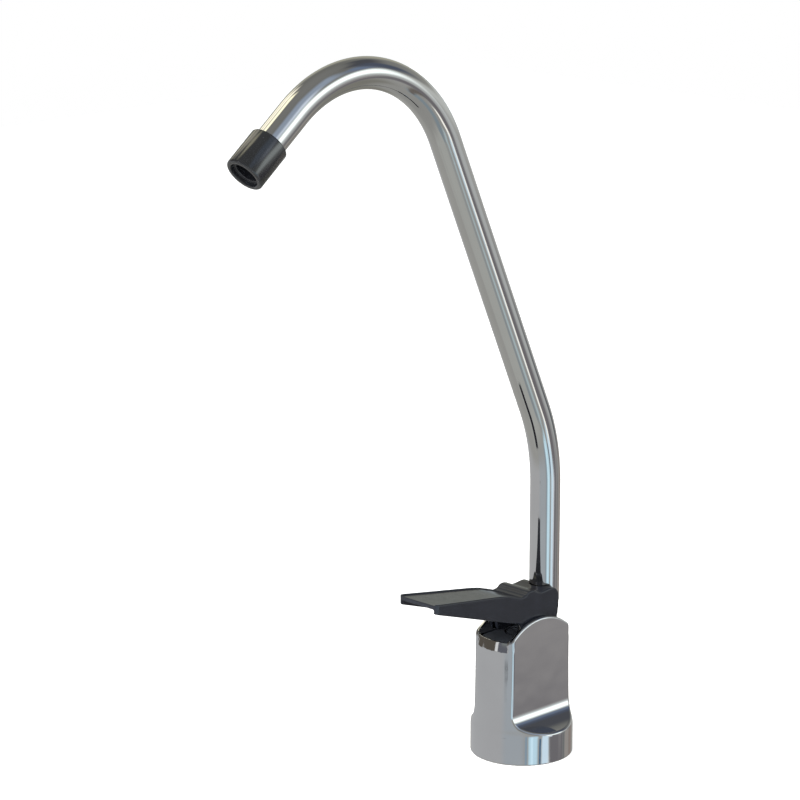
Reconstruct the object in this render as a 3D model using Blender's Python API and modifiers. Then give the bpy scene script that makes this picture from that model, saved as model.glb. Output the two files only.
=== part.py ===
"""Drinking water faucet with a long-reach swivel spout and a press lever.

The origin is on the body's axis at the deck, +Z is up and -Y is forward, where the lever and the
spout point. Everything below the deck, at negative Z, is the threaded shank with its fixings.
"""
import math

import bmesh
import bpy
from mathutils import Matrix, Vector

MM = 0.001

# Clearances between pieces, and how far a cutter reaches past what it cuts
SEAT_GAP = 0.3
SLIDE_GAP = 0.25
RING_GAP = 0.08
PAST = 1.0

# Body shell
BODY_TOP_RADIUS = 16.05
BODY_DRAFT = 0.45
FLANGE_STEP = 0.5
FLANGE_HEIGHT = 10.6
FLANGE_BLEND = 2.7
RIM_HEIGHT = 41.7
RIM_BAND = 3.5
RIM_DRAW_IN = 0.75
BASE_EDGE = 0.4
SHELL_WALL = 1.85
CHEEK_WALL = 1.4
CHEEK_HALF_SPAN = 8.6
CHEEK_RISE = 5.9
CHEEK_ARC_RADIUS = 20.5
CHEEK_SETBACK = 0.05
LEDGE_FILLET = 7.0
LEDGE_DISH = 0.35
FLOOR_BOTTOM = 2.4
FLOOR_THICKNESS = 2.6
FLOOR_HOLE_CLEARANCE = 0.6

# Valve body, the black insert inside the shell
VALVE_TOP_DROP = 0.5
SEAT_WEB_BOTTOM = 14.3
SEAT_WEB = 2.0
SEAT_LIP_HEIGHT = 0.6
SEAT_LIP_WIDTH = 0.9
SEAT_HOLE_RADIUS = 2.3
CHAMBER_RADIUS = 5.0
GLAND_SHOULDER = 31.0
GLAND_RADIUS = 5.5
PASSAGE_RADIUS = 1.4
SOCKET_DEPTH = 17.5

# Stem and what it carries
STEM_RADIUS = 1.6
STEM_HEAD_RADIUS = 1.95
STEM_HEAD_HEIGHT = 1.5
SEAL_RADIUS = 3.6
SEAL_THICKNESS = 2.2
CUP_RADIUS = 4.65
CUP_PLATE = 1.5
CUP_SKIRT = 1.5
SPRING_WIRE = 0.7
SPRING_MEAN_RADIUS = 4.1
SPRING_TURNS = 5
STEM_RING_SECTION = 1.3
GLAND_POCKET_DEPTH = 2.0
SPANNER_HOLE_RADIUS = 0.6
SPANNER_HOLE_DEPTH = 2.0
SPANNER_HOLE_PITCH = 3.7
PIVOT_ABOVE_VALVE = 8.8
T_BAR_BARREL_RADIUS = 3.4
T_BAR_BARREL_HEIGHT = 6.2
TRUNNION_RADIUS = 1.6
LOCK_NUT_FLATS = 6.5
LOCK_NUT_HEIGHT = 2.0

# Lever, seen from the side: distances forward of the body's axis, and rises above the pivot
LEVER_REACH = 49.6
LEVER_TIP_RISE = 13.1
LEVER_TIP_DEPTH = 3.2
LEVER_MID = 17.2
LEVER_MID_RISE = 8.4
LEVER_NECK = 7.5
LEVER_NECK_RISE = 5.7
LEVER_UNDER_SLOPE = 0.318
HUB_FRONT = 3.6
HUB_EASE = 0.6
HUB_CREST_RISE = 7.1
HUB_CREST_BACK = 1.3
HUB_VALLEY_BEHIND = 1.9
HUB_VALLEY_RISE = 5.6
HUB_REAR_RISE = 6.0
HUB_REAR_ROUND = 3.6
HUB_REAR = 10.4
HUB_HEEL = 6.4
HEEL_ROUND = 0.8
HEEL_TAPER = 2.1
THROAT_RADIUS = 4.2
LEVER_HUB_HALF_WIDTH = 6.7
LEVER_TIP_HALF_WIDTH = 8.6
LEVER_RAIL = 1.3
LEVER_RAIL_TOP = 1.0
LEVER_PLATE = 1.3
LEVER_RECESS = 0.55
LEVER_SOCKET_SKIN = 0.45
LEVER_EDGE = 0.35

# Spout tube, a plane curve that starts behind the body's axis
TUBE_RADIUS = 5.0
TUBE_WALL = 0.8
SPOUT_SETBACK = 5.7
TUBE_FOOT_RISE = 8.8
UPRIGHT_LENGTH = 40.0
LOWER_BEND_RADIUS = 64.4
LEAN_ANGLE = 24.3
LEAN_LENGTH = 102.5
HOOK_RADIUS = 41.8
TIP_ANGLE = 38.6
TIP_STRAIGHT = 19.0
TUBE_SIDES_RESOLUTION = 8

# Spout foot plug with its seals
FOOT_COLLAR_RADIUS = 4.4
FOOT_NECK_RADIUS = 3.5
FOOT_PLUG_LENGTH = 8.0
SPIGOT_RADIUS = 2.65
SPIGOT_BORE = 1.2
SPIGOT_LENGTH = 16.0
SPOUT_RING_SECTION = 0.76
GROOVE_DEPTH = 0.62
GROOVE_WIDTH = 1.1
CLIP_DEPTH = 3.0
RING_PITCH = 3.5
RETAINER_RADIAL = 0.5
RETAINER_HEIGHT = 0.7
RETAINER_SPLIT = 0.8

# Tip cap
CAP_RADIUS = 6.25
CAP_LENGTH = 13.3
CAP_OVERLAP = 6.6
CAP_BORE = 3.7
CAP_MOUTH = 4.7
CAP_MOUTH_DEPTH = 1.4
CAP_EDGE = 0.7

# Shank and fixings below the deck
SHANK_RADIUS = 5.55
SHANK_BORE = 3.0
SHANK_BELOW_DECK = 50.0
SHANK_NOSE_RADIUS = 4.0
SHANK_NOSE_HEIGHT = 1.6
SHANK_RING_SECTION = 1.3
INLET_BORE = 3.4
INLET_DEPTH = 9.0
GASKET_THICKNESS = 2.1
DECK_THICKNESS = 12.0
DECK_WASHER_RADIUS = 14.0
DECK_WASHER_THICKNESS = 2.0
CLAMP_WASHER_RADIUS = 15.0
CLAMP_WASHER_THICKNESS = 1.4
LOCK_WASHER_RADIUS = 9.4
LOCK_WASHER_THICKNESS = 1.2
LOCK_WASHER_TEETH = 10
MOUNTING_NUT_FLATS = 17.5
MOUNTING_NUT_HEIGHT = 5.5
INLET_NUT_FLATS = 14.3
INLET_NUT_HEIGHT = 10.5
INLET_NUT_WALL = 1.7
SLEEVE_HEIGHT = 1.3

# Facets round a full turn
FINE = 60
ROUND = 32
SMALL = 20

CHROME = ("chrome", (0.78, 0.78, 0.79), 0.06, 1.0)
STEEL = ("steel", (0.62, 0.62, 0.61), 0.28, 1.0)
BRASS = ("brass", (0.72, 0.56, 0.30), 0.25, 1.0)
BLACK = ("black_moulding", (0.018, 0.021, 0.027), 0.22, 0.0)
RUBBER = ("rubber", (0.03, 0.03, 0.03), 0.75, 0.0)

CENTRE = Vector((0.0, 0.0, 0.0))
tube_offset = BODY_TOP_RADIUS - SPOUT_SETBACK
SPOUT_AXIS = Vector((0.0, tube_offset * MM, 0.0))


def clear_scene():
    for old in list(bpy.data.objects):
        bpy.data.objects.remove(old, do_unlink=True)


def make_collection(name):
    made = bpy.data.collections.new(name)
    bpy.context.scene.collection.children.link(made)
    return made


clear_scene()
FAUCET = make_collection("drinking_water_faucet")
CUTTERS = make_collection("cutters")


def material_for(node, finish):
    """The node's own material, with its finish's colour, roughness and metallic value."""
    kind, colour, roughness, metallic = finish
    made = bpy.data.materials.new(node + "_" + kind)
    made.use_nodes = True
    shader = made.node_tree.nodes["Principled BSDF"]
    shader.inputs["Base Color"].default_value = (*colour, 1.0)
    shader.inputs["Roughness"].default_value = roughness
    shader.inputs["Metallic"].default_value = metallic
    made.diffuse_color = (*colour, 1.0)
    return made


def smooth(obj):
    obj.data.shade_smooth()
    obj.data.set_sharp_from_angle(angle=math.radians(35))


def finish_part(obj, finish):
    """Gives a finished sub-part its material and smooth shading."""
    obj.data.materials.clear()
    obj.data.materials.append(material_for(obj.name, finish))
    smooth(obj)
    return obj


def as_cutter(obj):
    """Moves a shape to the cutters, where it only guides a Boolean."""
    for owner in list(obj.users_collection):
        owner.objects.unlink(obj)
    CUTTERS.objects.link(obj)
    obj.hide_render = True
    obj.display_type = "WIRE"
    return obj


def combine(obj, other, operation):
    step = obj.modifiers.new(operation.lower() + "_" + other.name, "BOOLEAN")
    step.operation = operation
    step.object = other
    step.solver = "EXACT"
    return step


def cut(obj, *others):
    for other in others:
        combine(obj, as_cutter(other), "DIFFERENCE")


def turned(name, profile, steps=ROUND, centre=CENTRE, closed=False):
    """Turns a profile of (radius, height) in millimetres about the vertical line through centre.

    The profile runs down its outer side. A ring's profile is closed, a solid's ends on the axis.
    """
    mesh = bpy.data.meshes.new(name)
    points = [(r * MM, 0.0, z * MM) for r, z in profile]
    edges = [(i, i + 1) for i in range(len(points) - 1)]
    if closed:
        edges.append((len(points) - 1, 0))
    mesh.from_pydata(points, edges, [])
    obj = bpy.data.objects.new(name, mesh)
    FAUCET.objects.link(obj)
    obj.location = centre
    screw = obj.modifiers.new("turn", "SCREW")
    screw.axis = "Z"
    screw.angle = math.tau
    screw.steps = steps
    screw.render_steps = steps
    screw.use_merge_vertices = True
    screw.merge_threshold = 0.00001
    screw.use_smooth_shade = True
    return obj


def ring_profile(outer, inner, top, bottom):
    return [(outer, top), (outer, bottom), (inner, bottom), (inner, top)]


def torus(name, ring_radius, section, height, centre=CENTRE):
    """A sealing ring: its mean radius, the thickness of its section and its middle height."""
    bpy.ops.mesh.primitive_torus_add(
        major_radius=ring_radius * MM,
        minor_radius=section / 2 * MM,
        major_segments=SMALL,
        minor_segments=8,
        location=centre + Vector((0.0, 0.0, height * MM)),
    )
    obj = bpy.context.object
    obj.name = name
    for owner in list(obj.users_collection):
        owner.objects.unlink(obj)
    FAUCET.objects.link(obj)
    return obj


def cylinder(name, radius, start, end, sides=SMALL):
    """A plain cylinder between two points in millimetres."""
    start = Vector(start) * MM
    end = Vector(end) * MM
    axis = end - start
    mesh = bpy.data.meshes.new(name)
    shape = bmesh.new()
    turn = axis.to_track_quat("Z", "Y").to_matrix().to_4x4()
    place = Matrix.Translation((start + end) / 2) @ turn
    bmesh.ops.create_cone(
        shape, cap_ends=True, segments=sides, radius1=radius * MM, radius2=radius * MM,
        depth=axis.length, matrix=place)
    shape.to_mesh(mesh)
    shape.free()
    obj = bpy.data.objects.new(name, mesh)
    FAUCET.objects.link(obj)
    return obj


def box(name, low, high):
    low = Vector(low) * MM
    high = Vector(high) * MM
    mesh = bpy.data.meshes.new(name)
    shape = bmesh.new()
    size = Matrix.Diagonal((*(high - low), 1.0))
    bmesh.ops.create_cube(shape, size=1.0, matrix=Matrix.Translation((low + high) / 2) @ size)
    shape.to_mesh(mesh)
    shape.free()
    obj = bpy.data.objects.new(name, mesh)
    FAUCET.objects.link(obj)
    return obj


def curve_to_mesh(curve_object):
    """Replaces a curve object by the welded mesh of the same shape, in the same place."""
    name = curve_object.name
    graph = bpy.context.evaluated_depsgraph_get()
    mesh = bpy.data.meshes.new_from_object(curve_object.evaluated_get(graph))
    place = curve_object.matrix_world.copy()
    bpy.data.objects.remove(curve_object, do_unlink=True)
    shape = bmesh.new()
    shape.from_mesh(mesh)
    bmesh.ops.remove_doubles(shape, verts=shape.verts, dist=0.000001)
    bmesh.ops.recalc_face_normals(shape, faces=shape.faces)
    shape.to_mesh(mesh)
    shape.free()
    obj = bpy.data.objects.new(name, mesh)
    FAUCET.objects.link(obj)
    obj.matrix_world = place
    return obj


def plate(name, outline, thickness, place):
    """Extrudes a closed outline of millimetre points to both sides of its plane, set by place."""
    curve = bpy.data.curves.new(name, "CURVE")
    curve.dimensions = "2D"
    curve.fill_mode = "BOTH"
    curve.extrude = thickness / 2 * MM
    spline = curve.splines.new("POLY")
    spline.points.add(len(outline) - 1)
    for point, (u, v) in zip(spline.points, outline):
        point.co = (u * MM, v * MM, 0.0, 1.0)
    spline.use_cyclic_u = True
    obj = bpy.data.objects.new(name, curve)
    FAUCET.objects.link(obj)
    obj.matrix_world = place
    bpy.context.view_layer.update()
    return curve_to_mesh(obj)


def side_plane():
    """Outlines drawn as (forward, up) stand in the plane of the spout, across the X axis."""
    return Matrix(((0, 0, 1, 0), (-1, 0, 0, 0), (0, 1, 0, 0), (0, 0, 0, 1)))


def front_plane():
    """Outlines drawn as (sideways, up) stand across the Y axis."""
    return Matrix(((1, 0, 0, 0), (0, 0, -1, 0), (0, 1, 0, 0), (0, 0, 0, 1)))


def level_plane(height):
    """Outlines drawn as (sideways, forward) lie level at a height."""
    return Matrix(((1, 0, 0, 0), (0, -1, 0, 0), (0, 0, -1, height * MM), (0, 0, 0, 1)))


def arc(centre_u, centre_v, radius, start, end, count):
    """Points on an arc, from the start to the end angle in degrees."""
    points = []
    for i in range(count + 1):
        angle = math.radians(start + (end - start) * i / count)
        points.append((centre_u + radius * math.cos(angle), centre_v + radius * math.sin(angle)))
    return points


def flatted_circle(radius, half_flat, count=14):
    """A circle with two flats across X: the section of the shell's cavity and of the valve body."""
    corner = math.degrees(math.acos(half_flat / radius))
    return arc(0, 0, radius, corner, 180 - corner, count) + arc(0, 0, radius, 180 + corner, 360 - corner, count)


def hexagon(across_flats):
    return arc(0, 0, across_flats / math.sqrt(3), 0, 300, 5)


# Sizes that follow from the ones above
body_foot_radius = BODY_TOP_RADIUS + BODY_DRAFT
flange_radius = body_foot_radius + FLANGE_STEP
cheek_apex = RIM_HEIGHT + CHEEK_RISE
cavity_radius = BODY_TOP_RADIUS - SHELL_WALL
cavity_half_flat = CHEEK_HALF_SPAN - CHEEK_WALL
floor_top = FLOOR_BOTTOM + FLOOR_THICKNESS
recess_radius = flange_radius - SHELL_WALL - BASE_EDGE
valve_bottom = floor_top + SEAT_GAP
valve_top = RIM_HEIGHT - VALVE_TOP_DROP
seat_top = SEAT_WEB_BOTTOM + SEAT_WEB
lip_top = seat_top + SEAT_LIP_HEIGHT
socket_radius = SPIGOT_RADIUS + SLIDE_GAP
socket_bottom = valve_top - SOCKET_DEPTH
heel_bottom = valve_top + SEAT_GAP
pivot_height = valve_top + PIVOT_ABOVE_VALVE
lever_tip_height = pivot_height + LEVER_TIP_RISE
tube_foot_height = valve_top + TUBE_FOOT_RISE
tube_bend_height = tube_foot_height + UPRIGHT_LENGTH


def body_shell():
    """The plated shell: a turned barrel with a foot flange, two flatted sides and arched cheeks."""
    blend_top = FLANGE_HEIGHT + FLANGE_BLEND
    band_bottom = RIM_HEIGHT - RIM_BAND
    waist = (blend_top + band_bottom) / 2
    waist_radius = BODY_TOP_RADIUS + 0.25 * BODY_DRAFT
    rim_radius = BODY_TOP_RADIUS - RIM_DRAW_IN
    band = [
        (rim_radius, RIM_HEIGHT),
        (rim_radius + 0.45 * RIM_DRAW_IN, RIM_HEIGHT - 0.15 * RIM_BAND),
        (rim_radius + 0.8 * RIM_DRAW_IN, RIM_HEIGHT - 0.5 * RIM_BAND),
        (BODY_TOP_RADIUS, band_bottom),
    ]
    foot = [
        (waist_radius, waist),
        (body_foot_radius, blend_top),
        (body_foot_radius + 0.35 * FLANGE_STEP, FLANGE_HEIGHT + 0.4 * FLANGE_BLEND),
        (flange_radius - 0.1 * FLANGE_STEP, FLANGE_HEIGHT),
        (flange_radius, FLANGE_HEIGHT - FLANGE_BLEND / 3),
        (flange_radius, BASE_EDGE),
        (flange_radius - BASE_EDGE, 0.0),
    ]
    shell = turned("body_shell", [(0.0, RIM_HEIGHT)] + band + foot + [(0.0, 0.0)], FINE)

    # the two cheeks start as one arched block, rounded like the barrel
    half_chord = BODY_TOP_RADIUS + PAST
    rise = math.degrees(math.asin(half_chord / CHEEK_ARC_RADIUS))
    arch = arc(0, cheek_apex - CHEEK_ARC_RADIUS, CHEEK_ARC_RADIUS, 90 - rise, 90 + rise, 24)
    block_foot = band_bottom - RIM_BAND
    outline = [(half_chord, block_foot)] + arch + [(-half_chord, block_foot)]
    cheeks = plate("cheek_block", outline, 2 * (CHEEK_HALF_SPAN + PAST), side_plane())
    skin_radius = BODY_TOP_RADIUS - CHEEK_SETBACK
    skin = turned(
        "cheek_skin",
        [(0.0, cheek_apex + PAST), (skin_radius, cheek_apex + PAST), (skin_radius, 0.0), (0.0, 0.0)], FINE)
    combine(cheeks, as_cutter(skin), "INTERSECT")
    combine(shell, as_cutter(cheeks), "UNION")

    # each flat runs down into a fillet and a dished ledge on top of the flange
    outside = flange_radius + PAST
    fillet_foot = CHEEK_HALF_SPAN + LEDGE_FILLET
    dish = FLANGE_HEIGHT - LEDGE_DISH
    above = cheek_apex + PAST
    fillet = arc(fillet_foot, dish + LEDGE_FILLET, LEDGE_FILLET, 180, 270, 12)
    side = [(CHEEK_HALF_SPAN, above)] + fillet + [(outside, FLANGE_HEIGHT), (outside, above)]
    for sign, name in ((1, "near_flat"), (-1, "far_flat")):
        outline = [(sign * u, v) for u, v in side]
        if sign < 0:
            outline.reverse()
        cut(shell, plate(name, outline, 4 * flange_radius, front_plane()))

    # the cavity from the top, the hole for the shank and the recess for the gasket
    depth = above - floor_top
    cavity = plate(
        "cavity", flatted_circle(cavity_radius, cavity_half_flat), depth,
        level_plane(floor_top + depth / 2))
    cut(shell, cavity)
    hole_radius = SHANK_RADIUS + FLOOR_HOLE_CLEARANCE
    cut(shell, cylinder("floor_hole", hole_radius, (0, 0, FLOOR_BOTTOM - PAST), (0, 0, floor_top + PAST), ROUND))
    cut(shell, cylinder("gasket_recess", recess_radius, (0, 0, -PAST), (0, 0, FLOOR_BOTTOM), ROUND))
    return finish_part(shell, CHROME)


def valve_body():
    """The moulded insert that holds the seat, the chamber, the gland's thread and the spout socket."""
    height = valve_top - valve_bottom
    insert = plate(
        "valve_body",
        flatted_circle(cavity_radius - SLIDE_GAP, cavity_half_flat - SLIDE_GAP), height,
        level_plane(valve_bottom + height / 2))
    thread = SHANK_RADIUS + SLIDE_GAP
    lip = SEAT_HOLE_RADIUS + SEAT_LIP_WIDTH
    waterway = turned("waterway", [
        (0.0, valve_top + PAST), (GLAND_RADIUS + SLIDE_GAP, valve_top + PAST),
        (GLAND_RADIUS + SLIDE_GAP, GLAND_SHOULDER), (CHAMBER_RADIUS, GLAND_SHOULDER),
        (CHAMBER_RADIUS, seat_top), (lip, seat_top), (lip, lip_top), (SEAT_HOLE_RADIUS, lip_top),
        (SEAT_HOLE_RADIUS, SEAT_WEB_BOTTOM), (thread, SEAT_WEB_BOTTOM),
        (thread, valve_bottom - PAST), (0.0, valve_bottom - PAST)], ROUND)
    cut(insert, waterway)
    cut(insert, cylinder(
        "spout_socket", socket_radius, (0, tube_offset, socket_bottom), (0, tube_offset, valve_top + PAST)))
    passage_height = socket_bottom + 2 * PASSAGE_RADIUS
    cut(insert, cylinder("passage", PASSAGE_RADIUS, (0, 0, passage_height), (0, tube_offset, passage_height), 12))
    return finish_part(insert, BLACK)


def gland():
    """The gland nut that closes the valve chamber, and the ring that seals the stem in it."""
    bottom = GLAND_SHOULDER + SEAT_GAP
    top = valve_top - 0.2
    pocket_top = bottom + GLAND_POCKET_DEPTH
    bore = STEM_RADIUS + SLIDE_GAP
    pocket = STEM_RADIUS + RING_GAP * 2 + STEM_RING_SECTION + RING_GAP * 2
    nut = turned("gland_nut", [
        (GLAND_RADIUS - 0.4, top), (GLAND_RADIUS, top - 0.4), (GLAND_RADIUS, bottom), (pocket, bottom),
        (pocket, pocket_top), (bore, pocket_top), (bore, top)], ROUND, closed=True)
    for sign, name in ((1, "spanner_hole_right"), (-1, "spanner_hole_left")):
        pitch = sign * SPANNER_HOLE_PITCH
        cut(nut, cylinder(name, SPANNER_HOLE_RADIUS, (pitch, 0, top - SPANNER_HOLE_DEPTH), (pitch, 0, top + 1), 10))
    finish_part(nut, BLACK)
    ring_radius = STEM_RADIUS + RING_GAP * 2 + STEM_RING_SECTION / 2
    ring = torus("stem_o_ring", ring_radius, STEM_RING_SECTION, bottom + GLAND_POCKET_DEPTH / 2)
    finish_part(ring, RUBBER)


def stem_set():
    """The lifting stem, its seal and spring, and the T-bar that carries the lever."""
    seal_bottom = lip_top + SEAT_GAP
    seal_top = seal_bottom + SEAL_THICKNESS
    cup_plate_bottom = seal_top + SEAT_GAP
    cup_top = cup_plate_bottom + CUP_PLATE
    bore = STEM_RADIUS + SLIDE_GAP
    head_top = seal_bottom - RING_GAP
    stem_top = pivot_height + T_BAR_BARREL_HEIGHT / 2 - 0.5

    stem = turned("stem", [
        (0.0, stem_top), (STEM_RADIUS - 0.3, stem_top), (STEM_RADIUS, stem_top - 0.3),
        (STEM_RADIUS, head_top), (STEM_HEAD_RADIUS, head_top),
        (STEM_HEAD_RADIUS, head_top - STEM_HEAD_HEIGHT + 0.4),
        (STEM_HEAD_RADIUS - 0.4, head_top - STEM_HEAD_HEIGHT), (0.0, head_top - STEM_HEAD_HEIGHT)], SMALL)
    finish_part(stem, STEEL)

    seal = turned("valve_seal", ring_profile(SEAL_RADIUS, bore, seal_top, seal_bottom), SMALL, closed=True)
    finish_part(seal, RUBBER)

    cup = turned("seal_cup", [
        (CUP_RADIUS, cup_top), (CUP_RADIUS, cup_plate_bottom - CUP_SKIRT),
        (SEAL_RADIUS + SLIDE_GAP, cup_plate_bottom - CUP_SKIRT), (SEAL_RADIUS + SLIDE_GAP, cup_plate_bottom),
        (bore, cup_plate_bottom), (bore, cup_top)], SMALL, closed=True)
    finish_part(cup, BRASS)

    spring_bottom = cup_top + SEAT_GAP + SPRING_WIRE / 2
    spring_top = GLAND_SHOULDER - SPRING_WIRE / 2
    finish_part(coil_spring("return_spring", spring_bottom, spring_top), STEEL)

    barrel_top = pivot_height + T_BAR_BARREL_HEIGHT / 2
    barrel_bottom = pivot_height - T_BAR_BARREL_HEIGHT / 2
    arm = LEVER_HUB_HALF_WIDTH - LEVER_SOCKET_SKIN - SLIDE_GAP
    t_bar = cylinder("t_bar", T_BAR_BARREL_RADIUS, (0, 0, barrel_bottom), (0, 0, barrel_top), ROUND)
    arms = cylinder("t_bar_arms", TRUNNION_RADIUS, (-arm, 0, pivot_height), (arm, 0, pivot_height), SMALL)
    combine(t_bar, as_cutter(arms), "UNION")
    cut(t_bar, cylinder("t_bar_bore", bore, (0, 0, barrel_bottom - 1), (0, 0, barrel_top + 1), SMALL))
    finish_part(t_bar, BRASS)

    nut_top = barrel_bottom - SEAT_GAP
    lock_nut = plate("lock_nut", hexagon(LOCK_NUT_FLATS), LOCK_NUT_HEIGHT, level_plane(nut_top - LOCK_NUT_HEIGHT / 2))
    cut(lock_nut, cylinder("lock_nut_bore", bore, (0, 0, nut_top - LOCK_NUT_HEIGHT - 1), (0, 0, nut_top + 1), SMALL))
    finish_part(lock_nut, BRASS)


def coil_spring(name, bottom, top):
    """A wire helix between the middles of its end turns."""
    per_turn = 14
    curve = bpy.data.curves.new(name, "CURVE")
    curve.dimensions = "3D"
    curve.bevel_depth = SPRING_WIRE / 2 * MM
    curve.bevel_resolution = 1
    curve.use_fill_caps = True
    count = SPRING_TURNS * per_turn + 1
    spline = curve.splines.new("POLY")
    spline.points.add(count - 1)
    for i in range(count):
        angle = math.tau * i / per_turn
        height = bottom + (top - bottom) * i / (count - 1)
        x = SPRING_MEAN_RADIUS * math.cos(angle)
        y = SPRING_MEAN_RADIUS * math.sin(angle)
        spline.points[i].co = (x * MM, y * MM, height * MM, 1.0)
    obj = bpy.data.objects.new(name, curve)
    FAUCET.objects.link(obj)
    bpy.context.view_layer.update()
    return curve_to_mesh(obj)


def lever_under(forward):
    """Height of the rails' lower edge at a distance forward of the body's axis."""
    return lever_tip_height - LEVER_TIP_DEPTH - (LEVER_REACH - forward) * LEVER_UNDER_SLOPE


def lever_upper(drop):
    """The rails' upper edge from past the tip back to the neck, lowered by a drop."""
    tip, middle, neck = (pivot_height + rise - drop for rise in (LEVER_TIP_RISE, LEVER_MID_RISE, LEVER_NECK_RISE))
    past_tip = tip + (tip - middle) * PAST / (LEVER_REACH - LEVER_MID)
    return [(LEVER_REACH + PAST, past_tip), (LEVER_MID, middle), (LEVER_NECK, neck)]


def half_width(forward, inset=0.0):
    """Half the lever's width at a distance forward of the body's axis, less an inset."""
    share = (forward - LEVER_NECK) / (LEVER_REACH - LEVER_NECK)
    grown = LEVER_HUB_HALF_WIDTH + max(share, 0.0) * (LEVER_TIP_HALF_WIDTH - LEVER_HUB_HALF_WIDTH)
    return grown - inset


def plan(inset, rear, front):
    """The lever's outline from above between two distances, less an inset on each side."""
    stations = [rear, max(rear, LEVER_NECK), front]
    right = [(half_width(s, inset), s) for s in stations]
    left = [(-u, v) for u, v in reversed(right)]
    return right + left


def lever():
    """The black lever: a channel with deep rails, a raised hub over the T-bar and an open fork behind."""
    throat = HUB_HEEL + THROAT_RADIUS
    crest = pivot_height + HUB_CREST_RISE
    valley = pivot_height + HUB_VALLEY_RISE
    rear_crest = pivot_height + HUB_REAR_RISE
    top_line = [(LEVER_REACH, lever_tip_height)] + lever_upper(0.0)[1:] + [
        (HUB_FRONT + HUB_EASE, crest - HUB_EASE / 2), (HUB_FRONT - HUB_EASE, crest),
        (HUB_CREST_BACK, crest - HUB_EASE / 3), (-HUB_VALLEY_BEHIND, valley)]
    rear = arc(-HUB_REAR + HUB_REAR_ROUND, rear_crest - HUB_REAR_ROUND, HUB_REAR_ROUND, 100, 180, 5)
    heel = [(-HUB_REAR, pivot_height), (-HUB_REAR + HEEL_TAPER, heel_bottom), (HUB_HEEL - HEEL_ROUND, heel_bottom)]
    throat_arc = arc(throat, lever_under(throat) - THROAT_RADIUS, THROAT_RADIUS, 180, 90, 4)
    under_line = throat_arc + [(LEVER_REACH, lever_under(LEVER_REACH))]
    blank = plate("lever", top_line + rear + heel + under_line, 4 * LEVER_TIP_HALF_WIDTH, side_plane())

    # cutters drawn from above or from the side pass right through the blank
    middle = (lever_tip_height + heel_bottom) / 2
    deep = 2 * (lever_tip_height - heel_bottom)
    below = heel_bottom - PAST
    above = lever_tip_height + LEVER_TIP_DEPTH
    behind = -HUB_REAR - PAST
    tall = plate("lever_plan", plan(0.0, behind, LEVER_REACH), deep, level_plane(middle))
    combine(blank, as_cutter(tall), "INTERSECT")

    # the underside is open: rails and top plate keep an even wall
    hub_ceiling = valley - LEVER_PLATE
    ceiling = lever_upper(LEVER_RECESS + LEVER_PLATE) + [(HUB_FRONT, hub_ceiling), (behind, hub_ceiling)]
    hollow = plate(
        "lever_hollow", ceiling + [(behind, below), (LEVER_REACH + PAST, below)], 4 * LEVER_TIP_HALF_WIDTH, side_plane())
    inner = plate("lever_inner_plan", plan(LEVER_RAIL, behind - PAST, LEVER_REACH + 2 * PAST), deep, level_plane(middle))
    combine(hollow, as_cutter(inner), "INTERSECT")
    cut(blank, hollow)

    # the plate lies a little below the rails' upper edges, up to the hub's front wall
    wall = LEVER_NECK - LEVER_RECESS
    recess = plate(
        "lever_recess", lever_upper(LEVER_RECESS) + [(wall, above), (LEVER_REACH + PAST, above)],
        4 * LEVER_TIP_HALF_WIDTH, side_plane())
    recess_plan = plate(
        "lever_recess_plan", plan(LEVER_RAIL_TOP, wall - PAST, LEVER_REACH + 2 * PAST), deep, level_plane(middle))
    combine(recess, as_cutter(recess_plan), "INTERSECT")
    cut(blank, recess)

    # the fork's slot goes round the spout, and the T-bar turns in two blind sockets
    fork = LEVER_HUB_HALF_WIDTH - LEVER_RAIL
    open_end = -tube_offset - 2 * fork
    slot = plate(
        "fork_slot", arc(0, -tube_offset, fork, 0, 180, 16) + [(-fork, open_end), (fork, open_end)],
        deep, level_plane(middle))
    cut(blank, slot)
    socket = LEVER_HUB_HALF_WIDTH - LEVER_SOCKET_SKIN
    cut(blank, cylinder(
        "pivot_socket", TRUNNION_RADIUS + SLIDE_GAP, (-socket, 0, pivot_height), (socket, 0, pivot_height), SMALL))
    edge = blank.modifiers.new("rounded_edges", "BEVEL")
    edge.width = LEVER_EDGE * MM
    edge.segments = 1
    edge.limit_method = "ANGLE"
    edge.angle_limit = math.radians(50)
    return finish_part(blank, BLACK)


def spout_path(start_height, end_trim, steps_lower=6, steps_hook=24):
    """Points of the spout's centre line as (forward, up), from a height on the upright to near the tip."""
    lean = math.radians(LEAN_ANGLE)
    points = [(-tube_offset, start_height)]
    bend_centre = -tube_offset + LOWER_BEND_RADIUS
    points += [
        (bend_centre + u, tube_bend_height + v)
        for u, v in arc(0, 0, LOWER_BEND_RADIUS, 180, 180 - LEAN_ANGLE, steps_lower)]
    forward, up = points[-1]
    forward += LEAN_LENGTH * math.sin(lean)
    up += LEAN_LENGTH * math.cos(lean)
    centre_forward = forward + HOOK_RADIUS * math.cos(lean)
    centre_up = up - HOOK_RADIUS * math.sin(lean)
    points += arc(centre_forward, centre_up, HOOK_RADIUS, 180 - LEAN_ANGLE, 90 - TIP_ANGLE, steps_hook)
    forward, up = points[-1]
    run = TIP_STRAIGHT - end_trim
    points.append((forward + run * math.cos(math.radians(TIP_ANGLE)), up - run * math.sin(math.radians(TIP_ANGLE))))
    return points


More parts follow.
